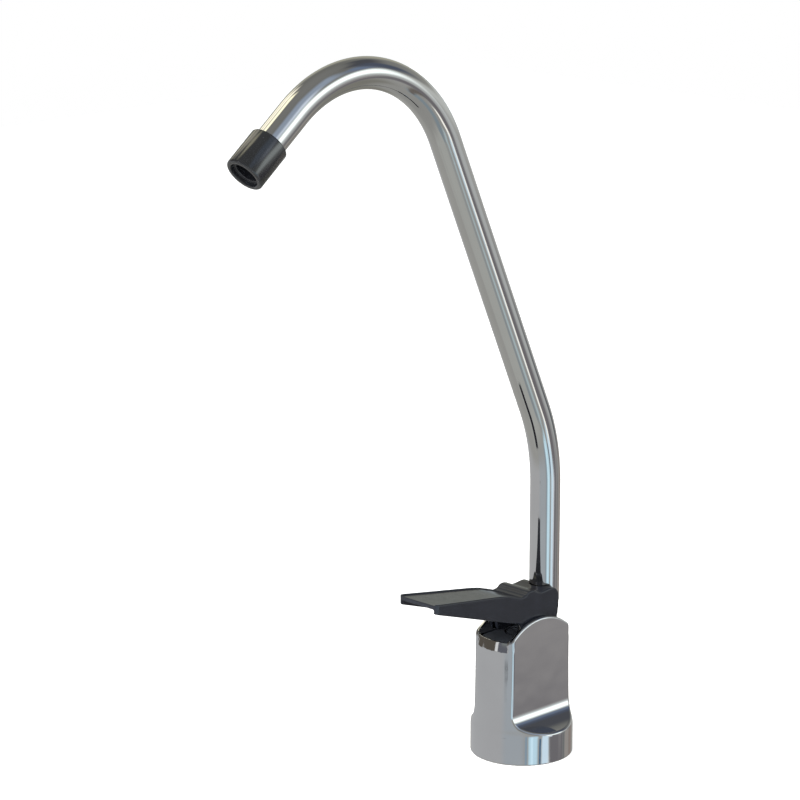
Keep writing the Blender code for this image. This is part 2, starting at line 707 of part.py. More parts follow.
def swept(name, points, radius):
    """A round bar along points given as (forward, up) in the plane of the spout."""
    curve = bpy.data.curves.new(name, "CURVE")
    curve.dimensions = "3D"
    curve.bevel_depth = radius * MM
    curve.bevel_resolution = TUBE_SIDES_RESOLUTION
    curve.use_fill_caps = True
    spline = curve.splines.new("POLY")
    spline.points.add(len(points) - 1)
    for point, (forward, up) in zip(spline.points, points):
        point.co = (0.0, -forward * MM, up * MM, 1.0)
    obj = bpy.data.objects.new(name, curve)
    FAUCET.objects.link(obj)
    bpy.context.view_layer.update()
    return curve_to_mesh(obj)


def spout_tube():
    tube = swept("spout_tube", spout_path(tube_foot_height, 0.0), TUBE_RADIUS)
    bore = swept("tube_bore", spout_path(tube_foot_height - 2, -2.0), TUBE_RADIUS - TUBE_WALL)
    cut(tube, bore)
    return finish_part(tube, CHROME)


def spout_foot():
    """The plug in the tube's foot: a collar on the valve body, and a spigot with two rings and a clip."""
    collar_top = tube_foot_height - SEAT_GAP
    collar_bottom = valve_top + SEAT_GAP
    plug_top = tube_foot_height + FOOT_PLUG_LENGTH
    plug_radius = TUBE_RADIUS - TUBE_WALL - SLIDE_GAP
    spigot_bottom = collar_bottom - SPIGOT_LENGTH
    groove_radius = SPIGOT_RADIUS - GROOVE_DEPTH
    clip_height = collar_bottom - CLIP_DEPTH
    upper = clip_height - RING_PITCH
    ring_heights = (upper, upper - RING_PITCH)
    side = [(plug_radius - 0.4, plug_top), (plug_radius, plug_top - 0.6), (plug_radius, collar_top)]
    neck_top = RIM_HEIGHT + 2 * SEAT_GAP
    side += [(FOOT_COLLAR_RADIUS, collar_top), (FOOT_COLLAR_RADIUS, neck_top + 0.8), (FOOT_NECK_RADIUS, neck_top)]
    side += [(FOOT_NECK_RADIUS, collar_bottom), (SPIGOT_RADIUS, collar_bottom)]
    for height in (clip_height, *ring_heights):
        side += [
            (SPIGOT_RADIUS, height + GROOVE_WIDTH / 2), (groove_radius, height + GROOVE_WIDTH / 2),
            (groove_radius, height - GROOVE_WIDTH / 2), (SPIGOT_RADIUS, height - GROOVE_WIDTH / 2)]
    side += [(SPIGOT_RADIUS, spigot_bottom + 0.5), (SPIGOT_RADIUS - 0.4, spigot_bottom)]
    foot = turned(
        "spout_foot", side + [(SPIGOT_BORE, spigot_bottom), (SPIGOT_BORE, plug_top)], SMALL, SPOUT_AXIS, closed=True)
    finish_part(foot, BLACK)

    ring_radius = groove_radius + RING_GAP / 2 + SPOUT_RING_SECTION / 2
    for height, name in zip(ring_heights, ("spout_o_ring_upper", "spout_o_ring_lower")):
        ring = torus(name, ring_radius, SPOUT_RING_SECTION, height, SPOUT_AXIS)
        finish_part(ring, RUBBER)

    inner = groove_radius + RING_GAP
    clip = turned(
        "spout_clip",
        ring_profile(inner + RETAINER_RADIAL, inner, clip_height + RETAINER_HEIGHT / 2, clip_height - RETAINER_HEIGHT / 2),
        SMALL, SPOUT_AXIS, closed=True)
    opening = box(
        "clip_split", (-RETAINER_SPLIT / 2, tube_offset, clip_height - RETAINER_HEIGHT),
        (RETAINER_SPLIT / 2, tube_offset + 2 * SPIGOT_RADIUS, clip_height + RETAINER_HEIGHT))
    cut(clip, opening)
    finish_part(clip, STEEL)


def spout_tip():
    """The black cap on the tube's end, turned about the tube's last straight."""
    end_forward, end_up = spout_path(tube_foot_height, 0.0)[-1]
    tilt = math.radians(TIP_ANGLE)
    top = CAP_OVERLAP
    bottom = CAP_OVERLAP - CAP_LENGTH
    seat = TUBE_RADIUS + SLIDE_GAP
    profile = [
        (CAP_RADIUS - 0.3, top), (CAP_RADIUS, top - 0.3), (CAP_RADIUS, bottom + CAP_EDGE),
        (CAP_RADIUS - 0.3 * CAP_EDGE, bottom + 0.3 * CAP_EDGE), (CAP_RADIUS - CAP_EDGE, bottom), (CAP_MOUTH, bottom),
        (CAP_MOUTH - 0.2, bottom + CAP_MOUTH_DEPTH), (CAP_BORE, bottom + CAP_MOUTH_DEPTH),
        (CAP_BORE, -SEAT_GAP), (seat, -SEAT_GAP), (seat, top)]
    cap = turned("spout_tip", profile, ROUND, closed=True)
    # the cap's own +Z points back up the tube
    cap.rotation_euler = (tilt - math.pi / 2, 0.0, 0.0)
    cap.location = (0.0, -end_forward * MM, end_up * MM)
    return finish_part(cap, BLACK)


def shank():
    """The threaded inlet tube that screws into the valve body and goes down through the deck."""
    top = SEAT_WEB_BOTTOM - SEAT_GAP
    shoulder = top - SHANK_NOSE_HEIGHT
    bottom = -SHANK_BELOW_DECK
    pipe = turned("shank", [
        (SHANK_NOSE_RADIUS, top), (SHANK_NOSE_RADIUS, shoulder), (SHANK_RADIUS, shoulder),
        (SHANK_RADIUS, bottom + 0.6), (SHANK_RADIUS - 0.6, bottom), (INLET_BORE, bottom),
        (INLET_BORE, bottom + INLET_DEPTH), (SHANK_BORE, bottom + INLET_DEPTH), (SHANK_BORE, top)], ROUND, closed=True)
    finish_part(pipe, BRASS)
    ring_radius = SHANK_NOSE_RADIUS + RING_GAP + SHANK_RING_SECTION / 2
    ring = torus("shank_o_ring", ring_radius, SHANK_RING_SECTION, shoulder + SHANK_NOSE_HEIGHT / 2 + 0.05)
    finish_part(ring, RUBBER)


def deck_fixings():
    """Gasket in the base, then the washers and nuts threaded on the shank below the deck."""
    bore = SHANK_RADIUS + SLIDE_GAP
    gasket = turned("base_gasket", ring_profile(recess_radius - SLIDE_GAP, bore, GASKET_THICKNESS, 0.0), ROUND, closed=True)
    finish_part(gasket, RUBBER)

    level = -DECK_THICKNESS
    washer = turned(
        "deck_washer", ring_profile(DECK_WASHER_RADIUS, bore, level, level - DECK_WASHER_THICKNESS), ROUND, closed=True)
    finish_part(washer, RUBBER)

    level -= DECK_WASHER_THICKNESS + SEAT_GAP
    clamp = turned("clamp_washer", [
        (CLAMP_WASHER_RADIUS - 0.3, level), (CLAMP_WASHER_RADIUS, level - 0.3),
        (CLAMP_WASHER_RADIUS, level - CLAMP_WASHER_THICKNESS), (bore, level - CLAMP_WASHER_THICKNESS), (bore, level)],
        ROUND, closed=True)
    finish_part(clamp, STEEL)

    level -= CLAMP_WASHER_THICKNESS + SEAT_GAP
    finish_part(toothed_washer("lock_washer", level - LOCK_WASHER_THICKNESS / 2), STEEL)

    level -= LOCK_WASHER_THICKNESS + SEAT_GAP
    middle = level - MOUNTING_NUT_HEIGHT / 2
    nut = plate("mounting_nut", hexagon(MOUNTING_NUT_FLATS), 2 * MOUNTING_NUT_HEIGHT, level_plane(middle))
    dome = turned("nut_chamfer", nut_dome(MOUNTING_NUT_FLATS, level, level - MOUNTING_NUT_HEIGHT), ROUND)
    combine(nut, as_cutter(dome), "INTERSECT")
    cut(nut, cylinder("nut_bore", bore, (0, 0, level - MOUNTING_NUT_HEIGHT - 1), (0, 0, level + 1), ROUND))
    finish_part(nut, BRASS)


def nut_dome(across_flats, top, bottom):
    """A barrel that takes the corners off both ends of a taller hexagon."""
    wide = across_flats / math.sqrt(3) + 0.5
    narrow = across_flats / 2 - 0.2
    drop = (wide - narrow) * 0.55
    return [(0.0, top), (narrow, top), (wide, top - drop), (wide, bottom + drop), (narrow, bottom), (0.0, bottom)]


def toothed_washer(name, middle):
    """A lock washer whose outer edge is cut into teeth."""
    outline = []
    root = LOCK_WASHER_RADIUS - 1.3
    for i in range(LOCK_WASHER_TEETH):
        start = 360.0 * i / LOCK_WASHER_TEETH
        half = 180.0 / LOCK_WASHER_TEETH
        outline += arc(0, 0, LOCK_WASHER_RADIUS, start, start + half, 1)
        outline += arc(0, 0, root, start + half, start + 2 * half, 1)
    washer = plate(name, outline, LOCK_WASHER_THICKNESS, level_plane(middle))
    cut(washer, cylinder(name + "_bore", SHANK_RADIUS + SLIDE_GAP, (0, 0, middle - 2), (0, 0, middle + 2), ROUND))
    return washer


def inlet_fitting():
    """The compression nut on the shank's end, and the sleeve that it presses."""
    end = -SHANK_BELOW_DECK
    sleeve_top = end - SEAT_GAP
    sleeve_bottom = sleeve_top - SLEEVE_HEIGHT
    wall_top = sleeve_bottom - SEAT_GAP
    bottom = wall_top - INLET_NUT_WALL
    top = bottom + INLET_NUT_HEIGHT
    bore = SHANK_RADIUS + SLIDE_GAP
    nut = plate("inlet_nut", hexagon(INLET_NUT_FLATS), 2 * INLET_NUT_HEIGHT, level_plane(bottom + INLET_NUT_HEIGHT / 2))
    dome = turned("inlet_nut_chamfer", nut_dome(INLET_NUT_FLATS, top, bottom), ROUND)
    combine(nut, as_cutter(dome), "INTERSECT")
    inside = turned("inlet_nut_bore", [
        (0.0, top + 1), (bore, top + 1), (bore, wall_top), (INLET_BORE, wall_top),
        (INLET_BORE, bottom - 1), (0.0, bottom - 1)], ROUND)
    cut(nut, inside)
    finish_part(nut, BRASS)
    sleeve = turned("inlet_sleeve", [
        (SHANK_RADIUS - 0.8, sleeve_top), (SHANK_RADIUS - 0.4, sleeve_bottom),
        (INLET_BORE, sleeve_bottom), (INLET_BORE, sleeve_top)], SMALL, closed=True)
    finish_part(sleeve, BRASS)


def set_on_axis(names, place, empty_name):
    """Parents a moving group to an empty on its joint's axis, where it stays as it was placed."""
    pivot = bpy.data.objects.new(empty_name, None)
    pivot.empty_display_size = 0.01
    pivot.location = place
    FAUCET.objects.link(pivot)
    bpy.context.view_layer.update()
    for name in names:
        obj = bpy.data.objects[name]
        obj.parent = pivot
        obj.matrix_parent_inverse = pivot.matrix_world.inverted()


body_shell()
valve_body()
gland()
stem_set()
lever()
spout_tube()
spout_foot()
spout_tip()
shank()
deck_fixings()
inlet_fitting()

set_on_axis(("stem", "valve_seal", "seal_cup", "return_spring", "t_bar", "lock_nut"), CENTRE, "stem_lift_axis")
set_on_axis(("lever",), Vector((0.0, 0.0, pivot_height * MM)), "lever_pivot_axis")
set_on_axis(
    ("spout_tube", "spout_foot", "spout_o_ring_upper", "spout_o_ring_lower", "spout_clip", "spout_tip"),
    SPOUT_AXIS, "spout_swivel_axis")
bpy.context.view_layer.update()
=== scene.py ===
import math

import bmesh
import bpy
import numpy as np
from mathutils import Matrix, Vector


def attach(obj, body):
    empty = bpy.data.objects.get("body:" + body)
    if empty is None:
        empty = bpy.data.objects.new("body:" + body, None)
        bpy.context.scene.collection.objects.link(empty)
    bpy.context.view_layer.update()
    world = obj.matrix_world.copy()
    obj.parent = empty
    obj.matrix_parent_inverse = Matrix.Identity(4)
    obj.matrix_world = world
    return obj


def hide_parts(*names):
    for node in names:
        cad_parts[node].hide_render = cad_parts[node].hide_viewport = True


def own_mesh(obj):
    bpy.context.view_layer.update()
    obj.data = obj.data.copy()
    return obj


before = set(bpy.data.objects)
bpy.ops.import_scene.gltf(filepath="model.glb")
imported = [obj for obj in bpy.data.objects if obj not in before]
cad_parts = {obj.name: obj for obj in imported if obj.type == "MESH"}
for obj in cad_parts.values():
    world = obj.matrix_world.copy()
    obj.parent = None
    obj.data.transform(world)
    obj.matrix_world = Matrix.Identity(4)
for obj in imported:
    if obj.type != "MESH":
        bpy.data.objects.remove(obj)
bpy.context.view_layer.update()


# The body shell is one zinc casting, turned, polished and chrome plated. Two flats run down its sides
# into dished ledges above the foot flange, and two arched cheeks stand up from its rim.
# Sizes are in millimetres here and below, and MM turns them into metres.
MM = 0.001
FOOT_RADIUS = 16.5
SHOULDER_RADIUS = 16.05
SHOULDER_HEIGHT = 38.2
RIM_TOP = 41.7
RIM_DRAW_IN = 0.9
RIM_SLOPE = 0.92
RIM_CURL = 4
FLANGE_RADIUS = 17.0
FLANGE_BLEND = (9.2, 13.3)
CHEEK_TOP = 47.6
CHEEK_ARC = 20.5
CHEEK_SKIN = 16.0
CHEEK_OUTER = 8.6
CHEEK_INNER = 7.2
CHEEK_OVERLAP = 0.3
CHEEK_FILLET = 0.1
LEDGE_FILLET = 2.2
DISH_RADIUS = 24.0
DISH_CENTRE = (22.3, 33.7)
CAVITY_RADIUS = 14.2
CAVITY_FLOOR = 5.0
CAVITY_CORNER = 0.8
CAVITY_FOOT = 0.5
LIP_FLARE = (39.8, 0.36)
BASE_RECESS = (14.75, 2.4)
SHANK_HOLE = 6.15
FLAT_EDGE = 0.6
RIM_EDGE = 0.3
INNER_EDGE = 0.3
BASE_EDGE = 0.4
HOLE_EDGE = 0.2
SHELL_GRAIN = 0.34
SHELL_REACH = 0.1


def rounded_and(a, b, radius):
    """Field of what lies inside both shapes, with the edge between them rounded."""
    corner = np.hypot(np.maximum(a + radius, 0.0), np.maximum(b + radius, 0.0))
    return np.minimum(-radius, np.maximum(a, b)) + corner


def rounded_or(a, b, radius):
    """Field of what lies inside either shape, with a fillet between them."""
    return -rounded_and(-a, -b, radius)


def shell_radius(z):
    """Radius of the turned outside at each height: flange, blend, drafted barrel and rounded rim."""
    share = np.clip((z - FLANGE_BLEND[0]) / (FLANGE_BLEND[1] - FLANGE_BLEND[0]), 0.0, 1.0)
    blend = share * share * (3.0 - 2.0 * share)
    up = np.clip((SHOULDER_HEIGHT - z) / (SHOULDER_HEIGHT - FLANGE_BLEND[1]), 0.0, 1.0)
    barrel = SHOULDER_RADIUS + (FOOT_RADIUS - SHOULDER_RADIUS) * up * up
    band = np.clip((z - SHOULDER_HEIGHT) / (RIM_TOP - SHOULDER_HEIGHT), 0.0, 1.0)
    drawn = RIM_DRAW_IN * (RIM_SLOPE * band + (1.0 - RIM_SLOPE) * band ** RIM_CURL)
    return FLANGE_RADIUS + (barrel - FLANGE_RADIUS) * blend - drawn


def shell_field(p):
    """The casting, from its outside down to the cavity, the shank's hole and the gasket's recess."""
    x, y, z = p.T
    side = np.abs(x)
    r = np.hypot(x, y)
    barrel = rounded_and(r - shell_radius(z), z - RIM_TOP, RIM_EDGE)
    arch = np.hypot(y, z - CHEEK_TOP + CHEEK_ARC) - CHEEK_ARC
    cheeks = rounded_and(r - CHEEK_SKIN, arch, FLAT_EDGE)
    cheeks = rounded_and(cheeks, CHEEK_INNER - CHEEK_OVERLAP - side, HOLE_EDGE)
    outside = rounded_or(barrel, cheeks, CHEEK_FILLET)
    dish = DISH_RADIUS - np.hypot(side - DISH_CENTRE[0], z - DISH_CENTRE[1])
    outside = rounded_and(outside, rounded_or(side - CHEEK_OUTER, dish, LEDGE_FILLET), FLAT_EDGE)
    outside = rounded_and(outside, -z, BASE_EDGE)
    flare = LIP_FLARE[1] * np.maximum(z - LIP_FLARE[0], 0.0)
    cavity = rounded_and(side - CHEEK_INNER, r - CAVITY_RADIUS - flare, CAVITY_CORNER)
    cavity = rounded_and(cavity, CAVITY_FLOOR - z, CAVITY_FOOT)
    recess = rounded_and(r - BASE_RECESS[0], z - BASE_RECESS[1], INNER_EDGE)
    solid = rounded_and(outside, -cavity, INNER_EDGE)
    return rounded_and(rounded_and(solid, -recess, HOLE_EDGE), SHANK_HOLE - r, HOLE_EDGE)


def slope_of(field, points, reach):
    """Gradient of a field at each point."""
    steps = np.eye(3) * reach
    return np.stack([(field(points + s) - field(points - s)) / (2.0 * reach) for s in steps], axis=1)


def new_object(name, data):
    """An object with its data, linked into the scene."""
    made = bpy.data.objects.new(name, data)
    bpy.context.scene.collection.objects.link(made)
    return made


def evaluated_mesh(source):
    """A plain mesh of an object with its modifiers applied."""
    graph = bpy.context.evaluated_depsgraph_get()
    return bpy.data.meshes.new_from_object(source.evaluated_get(graph))


MERGE_DISTANCE = 0.000002
SETTLING_ROUNDS = 5
LEAST_STEEPNESS = 0.3


def fine_solid(name, node, field, grain, reach=0.03):
    """A fine copy of a CAD solid, meshed anew, with each vertex set on the field's surface."""
    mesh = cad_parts[node].data.copy()
    shape = bmesh.new()
    shape.from_mesh(mesh)
    bmesh.ops.remove_doubles(shape, verts=shape.verts, dist=MERGE_DISTANCE)
    shape.to_mesh(mesh)
    shape.free()
    rough = new_object(name + "_rough", mesh)
    remesh = rough.modifiers.new("fine", "REMESH")
    remesh.mode = "VOXEL"
    remesh.voxel_size = grain * MM
    mesh = evaluated_mesh(rough)
    mesh.name = name
    mesh.materials.clear()
    bpy.data.objects.remove(rough, do_unlink=True)
    flat = np.empty(3 * len(mesh.vertices))
    mesh.vertices.foreach_get("co", flat)
    points = flat.reshape(-1, 3) / MM
    for _ in range(SETTLING_ROUNDS):
        slope = slope_of(field, points, reach)
        steepness = np.maximum((slope ** 2).sum(axis=1), LEAST_STEEPNESS)
        points = points - np.clip(field(points) / steepness, -grain, grain)[:, None] * slope
    mesh.vertices.foreach_set("co", (points * MM).ravel())
    mesh.update()
    slope = slope_of(field, points, reach)
    length = np.maximum(np.linalg.norm(slope, axis=1), 1e-9)
    mesh.shade_smooth()
    mesh.normals_split_custom_set_from_vertices(slope / length[:, None])
    return new_object(name, mesh)


def add_node(tree, kind, inputs=None, **settings):
    """A shader node with its sockets set by name, to a value or from another node's output."""
    made = tree.nodes.new(kind)
    for key, value in settings.items():
        setattr(made, key, value)
    for key, value in (inputs or {}).items():
        if isinstance(value, bpy.types.NodeSocket):
            tree.links.new(value, made.inputs[key])
        else:
            made.inputs[key].default_value = value
    return made


def calculated(tree, operation, *values):
    """The result of a Math node on its values or sockets."""
    return add_node(tree, "ShaderNodeMath", dict(enumerate(values)), operation=operation).outputs[0]


def blended(tree, factor, a, b):
    """A colour that goes from a to b with the factor."""
    made = add_node(tree, "ShaderNodeMix", {"Factor": factor, "A": a, "B": b}, data_type="RGBA")
    return made.outputs["Result"]


def effect(name, inputs, output):
    """An empty shader node group with named value sockets."""
    group = bpy.data.node_groups.new(name, "ShaderNodeTree")
    for label, value in inputs.items():
        socket = group.interface.new_socket(label, in_out="INPUT", socket_type="NodeSocketFloat")
        socket.default_value = value
    group.interface.new_socket(output, in_out="OUTPUT", socket_type="NodeSocketFloat")
    return group, group.nodes.new("NodeGroupInput"), group.nodes.new("NodeGroupOutput")


def wander_effect():
    """A slow, cloudy change over the surface, between a low and a high value."""
    group, given, result = effect("wander", {"Scale": 100.0, "Low": 0.0, "High": 1.0}, "Value")
    coords = add_node(group, "ShaderNodeTexCoord")
    noise = add_node(group, "ShaderNodeTexNoise", {
        "Vector": coords.outputs["Object"], "Scale": given.outputs["Scale"],
        "Detail": 3.0, "Roughness": 0.55})
    spread = add_node(group, "ShaderNodeMapRange", {
        "Value": noise.outputs["Fac"], "From Min": 0.3, "From Max": 0.7,
        "To Min": given.outputs["Low"], "To Max": given.outputs["High"]})
    group.links.new(spread.outputs["Result"], result.inputs["Value"])
    return group


def scratch_effect():
    """Fine wiping marks: long thin streaks in two crossing directions."""
    group, given, result = effect("wiping_marks", {"Scale": 900.0, "Amount": 0.5}, "Mask")
    coords = add_node(group, "ShaderNodeTexCoord")
    streaks = []
    for turn, stretch in ((0.5, 0.03), (-0.9, 0.05)):
        mapping = add_node(group, "ShaderNodeMapping", {
            "Vector": coords.outputs["Object"], "Rotation": (turn, 0.6 * turn, turn),
            "Scale": (1.0, stretch, 1.0)})
        noise = add_node(group, "ShaderNodeTexNoise", {
            "Vector": mapping.outputs["Vector"], "Scale": given.outputs["Scale"], "Detail": 2.0})
        streak = add_node(group, "ShaderNodeMapRange", {
            "Value": noise.outputs["Fac"], "From Min": 0.62, "From Max": 0.76},
            interpolation_type="SMOOTHSTEP")
        streaks.append(streak.outputs["Result"])
    both = calculated(group, "MAXIMUM", *streaks)
    group.links.new(calculated(group, "MULTIPLY", both, given.outputs["Amount"]), result.inputs["Mask"])
    return group


wander = wander_effect()
wiping_marks = scratch_effect()


def use_effect(tree, group, **values):
    """Places an effect's group in a material, with its own values."""
    made = tree.nodes.new("ShaderNodeGroup")
    made.node_tree = group
    for key, value in values.items():
        made.inputs[key].default_value = value
    return made


def new_finish(name, metallic):
    """A material with its Principled BSDF, ready to be wired."""
    finish = bpy.data.materials.new(name)
    finish.use_nodes = True
    shader = finish.node_tree.nodes["Principled BSDF"]
    shader.inputs["Metallic"].default_value = metallic
    return finish, finish.node_tree, shader


def uneven_colour(tree, shader, scale, colour, other):
    """A base colour that drifts slowly between two tones."""
    tint = use_effect(tree, wander, Scale=scale)
    shade = blended(tree, tint.outputs["Value"], (*colour, 1.0), (*other, 1.0))
    tree.links.new(shade, shader.inputs["Base Color"])


def uneven_gloss(tree, shader, scale, low, high, marked=0.0):
    """A roughness that drifts between two values, with wiping marks laid over it."""
    gloss = use_effect(tree, wander, Scale=scale, Low=low, High=high).outputs["Value"]
    if marked:
        marks = use_effect(tree, wiping_marks, Amount=marked)
        gloss = calculated(tree, "ADD", gloss, marks.outputs["Mask"])
    tree.links.new(gloss, shader.inputs["Roughness"])


def relief(tree, height, depth, below=None):
    """The normal of a surface with a height on it, over another normal if there is one below."""
    inputs = {"Height": height, "Distance": depth, "Strength": 1.0}
    if below is not None:
        inputs["Normal"] = below
    return add_node(tree, "ShaderNodeBump", inputs).outputs["Normal"]


def chrome_plate(name, colour, smoothness, wave, peel):
    """Bright plating: a slow waviness from the polishing wheel, orange peel, and faint wiping marks."""
    finish, tree, shader = new_finish(name, 1.0)
    uneven_colour(tree, shader, scale=70.0, colour=colour, other=[0.96 * c for c in colour])
    uneven_gloss(tree, shader, scale=160.0, low=0.8 * smoothness, high=1.3 * smoothness, marked=0.05)
    slow = use_effect(tree, wander, Scale=26.0)
    fine = use_effect(tree, wander, Scale=620.0)
    waves = relief(tree, slow.outputs["Value"], wave)
    dimples = relief(tree, fine.outputs["Value"], peel, below=waves)
    tree.links.new(dimples, shader.inputs["Normal"])
    return finish


def fit(piece, finish, node, body):
    """Sets a finished piece in its CAD node's place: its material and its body."""
    piece.data.materials.clear()
    piece.data.materials.append(finish)
    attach(piece, body)
    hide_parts(node)


shell_chrome = chrome_plate(
    "shell_chrome", colour=(0.66, 0.665, 0.67), smoothness=0.05, wave=0.00010, peel=0.0000006)
casting = fine_solid("shell_casting", "body_shell", shell_field, SHELL_GRAIN, SHELL_REACH)
fit(casting, shell_chrome, "body_shell", "root")


# The valve body is a black moulded insert that drops into the shell from above and is pulled down by the
# shank. It holds the seat, the stem's chamber, the gland's thread and the socket that the spout turns in.
SPOUT_SETBACK = 10.35
INSERT_HALF_FLAT = 6.95
INSERT_RADIUS = 13.95
INSERT_HEIGHTS = (5.3, 41.2)
INSERT_CORNER = 0.6
INSERT_EDGE = 0.35
INSERT_GRAIN = 0.36
SOCKET = (2.9, 23.7)
PASSAGE = (1.4, 26.5)
WATERWAY = [
    (-1.0, 45.0), (5.75, 45.0), (5.75, 31.0), (5.0, 31.0), (5.0, 16.3), (3.2, 16.3), (3.2, 16.9), (2.3, 16.9),
    (2.3, 14.3), (5.8, 14.3), (5.8, 2.0), (-1.0, 2.0)]


def outline_distance(outline, u, v):
    """Distance to a closed outline in its plane, negative inside it."""
    points = np.array(outline, float)
    nearest = np.full(u.shape, np.inf)
    inside = np.zeros(u.shape, bool)
    for (au, av), (bu, bv) in zip(points, np.roll(points, -1, axis=0)):
        du, dv = bu - au, bv - av
        share = np.clip(((u - au) * du + (v - av) * dv) / (du * du + dv * dv), 0.0, 1.0)
        nearest = np.minimum(nearest, (u - au - share * du) ** 2 + (v - av - share * dv) ** 2)
        if av != bv:
            inside ^= ((av > v) != (bv > v)) & (u < du * (v - av) / dv + au)
    return np.where(inside, -1.0, 1.0) * np.sqrt(nearest)


def insert_field(p):
    """The flatted insert with its waterway, spout socket and passage."""
    x, y, z = p.T
    r = np.hypot(x, y)
    low, high = INSERT_HEIGHTS
    section = rounded_and(np.abs(x) - INSERT_HALF_FLAT, r - INSERT_RADIUS, INSERT_CORNER)
    block = rounded_and(rounded_and(section, z - high, INSERT_EDGE), low - z, INSERT_EDGE)
    socket = rounded_and(np.hypot(x, y - SPOUT_SETBACK) - SOCKET[0], SOCKET[1] - z, HOLE_EDGE)
    passage = np.maximum(np.hypot(x, z - PASSAGE[1]) - PASSAGE[0], np.maximum(-y, y - SPOUT_SETBACK))
    hollow = np.minimum(np.minimum(outline_distance(WATERWAY, r, z), socket), passage)
    return rounded_and(block, -hollow, HOLE_EDGE)


def grain_effect():
    """The fine spark-eroded grain of a moulding, as a height."""
    group, given, result = effect("moulded_grain", {"Scale": 2600.0}, "Height")
    coords = add_node(group, "ShaderNodeTexCoord")
    cells = add_node(group, "ShaderNodeTexVoronoi", {
        "Vector": coords.outputs["Object"], "Scale": given.outputs["Scale"]})
    cloud = add_node(group, "ShaderNodeTexNoise", {
        "Vector": coords.outputs["Object"], "Scale": given.outputs["Scale"], "Detail": 2.0})
    height = calculated(group, "ADD", cells.outputs["Distance"], cloud.outputs["Fac"])
    group.links.new(height, result.inputs["Height"])
    return group


moulded_grain = grain_effect()


def black_moulding(name, colour, smoothness, grain, refraction=1.5):
    """Black engineering plastic: fine grain, a slightly uneven gloss and tone, and faint wiping marks."""
    finish, tree, shader = new_finish(name, 0.0)
    shader.inputs["IOR"].default_value = refraction
    uneven_colour(tree, shader, scale=240.0, colour=colour, other=[1.35 * c for c in colour])
    uneven_gloss(tree, shader, scale=330.0, low=0.85 * smoothness, high=1.2 * smoothness, marked=0.03)
    texture = use_effect(tree, moulded_grain)
    tree.links.new(relief(tree, texture.outputs["Height"], grain), shader.inputs["Normal"])
    return finish


insert_black = black_moulding("insert_black", colour=(0.045, 0.050, 0.060), smoothness=0.45, grain=0.000003)
insert = fine_solid("valve_insert", "valve_body", insert_field, INSERT_GRAIN)
fit(insert, insert_black, "valve_body", "root")


# The gland nut closes the valve chamber and guides the stem. It is turned from the same black plastic,
# with two pin-spanner holes in its top, and a rubber ring sits in the pocket below.
GLAND_TOP = 41.0
GLAND_PROFILE = [
    (5.5, GLAND_TOP, 0.5), (5.5, 31.3, 0.2), (3.22, 31.3, 0.1), (3.22, 33.3, 0.1), (1.85, 33.3, 0.1),
    (1.85, GLAND_TOP, 0.3)]
SPANNER_HOLE = {"radius": 0.6, "depth": 2.0, "pitch": 3.7, "drill point": 0.3}
STEM_RING = {"ring_radius": 2.41, "height": 32.3, "thickness": 1.3}
CORNER_STEPS = 4
CORNER_SHARE = 0.45
ON_AXIS = 0.000001
SHARP_ANGLE = 35.0
NARROW_STEPS = 48
WIDE_STEPS = 96


def soften(profile, closed):
    """Replaces each corner of a (radius, height, corner radius) profile by an arc."""
    points = [Vector(p[:2]) for p in profile]
    line = []
    for i, (here, corner) in enumerate(zip(points, profile)):
        ends = not closed and i in (0, len(points) - 1)
        if ends or len(corner) < 3:
            line.append(here)
            continue
        before, after = points[i - 1] - here, points[(i + 1) % len(points)] - here
        turn = before.angle(after)
        room = CORNER_SHARE * min(before.length, after.length)
        cut = min(corner[2] / math.tan(turn / 2.0), room)
        start, end = here + cut * before.normalized(), here + cut * after.normalized()
        for k in range(CORNER_STEPS + 1):
            t = k / CORNER_STEPS
            pull = 2 * t * (1 - t) * math.sin(turn / 2.0)
            line.append(((1 - t) ** 2 * start + pull * here + t * t * end) / ((1 - t) ** 2 + pull + t * t))
    return line


def closed_mesh(name, shape):
    """A mesh of what was built, with its faces pointing out."""
    bmesh.ops.recalc_face_normals(shape, faces=shape.faces)
    mesh = bpy.data.meshes.new(name)
    shape.to_mesh(mesh)
    shape.free()
    return mesh


def turned(name, profile, steps=72, centre_y=0.0, closed=True, reshape=None):
    """Turns a profile about a vertical line. reshape may change each point's radius by its angle."""
    line = soften(profile, closed)
    shape = bmesh.new()
    rings = []
    for r, z in line:
        if r < ON_AXIS:
            rings.append([shape.verts.new((0.0, centre_y * MM, z * MM))] * steps)
            continue
        ring = []
        for k in range(steps):
            angle = math.tau * k / steps
            radius = reshape(r, z, angle) if reshape else r
            ring.append(shape.verts.new((
                radius * math.cos(angle) * MM, (centre_y + radius * math.sin(angle)) * MM, z * MM)))
        rings.append(ring)
    pairs = list(zip(rings, rings[1:])) + ([(rings[-1], rings[0])] if closed else [])
    for upper, lower in pairs:
        for k in range(steps):
            loop = [upper[k], upper[(k + 1) % steps], lower[(k + 1) % steps], lower[k]]
            corners = [v for i, v in enumerate(loop) if v not in loop[:i]]
            if len(corners) > 2:
                shape.faces.new(corners)
    mesh = closed_mesh(name, shape)
    mesh.shade_smooth()
    mesh.set_sharp_from_angle(angle=math.radians(SHARP_ANGLE))
    return new_object(name, mesh)


def ring_section(ring_radius, height, thickness, sides=16):
    """Profile of a round-section sealing ring."""
    return [(ring_radius + thickness / 2 * math.cos(math.tau * k / sides),
             height - thickness / 2 * math.sin(math.tau * k / sides)) for k in range(sides)]


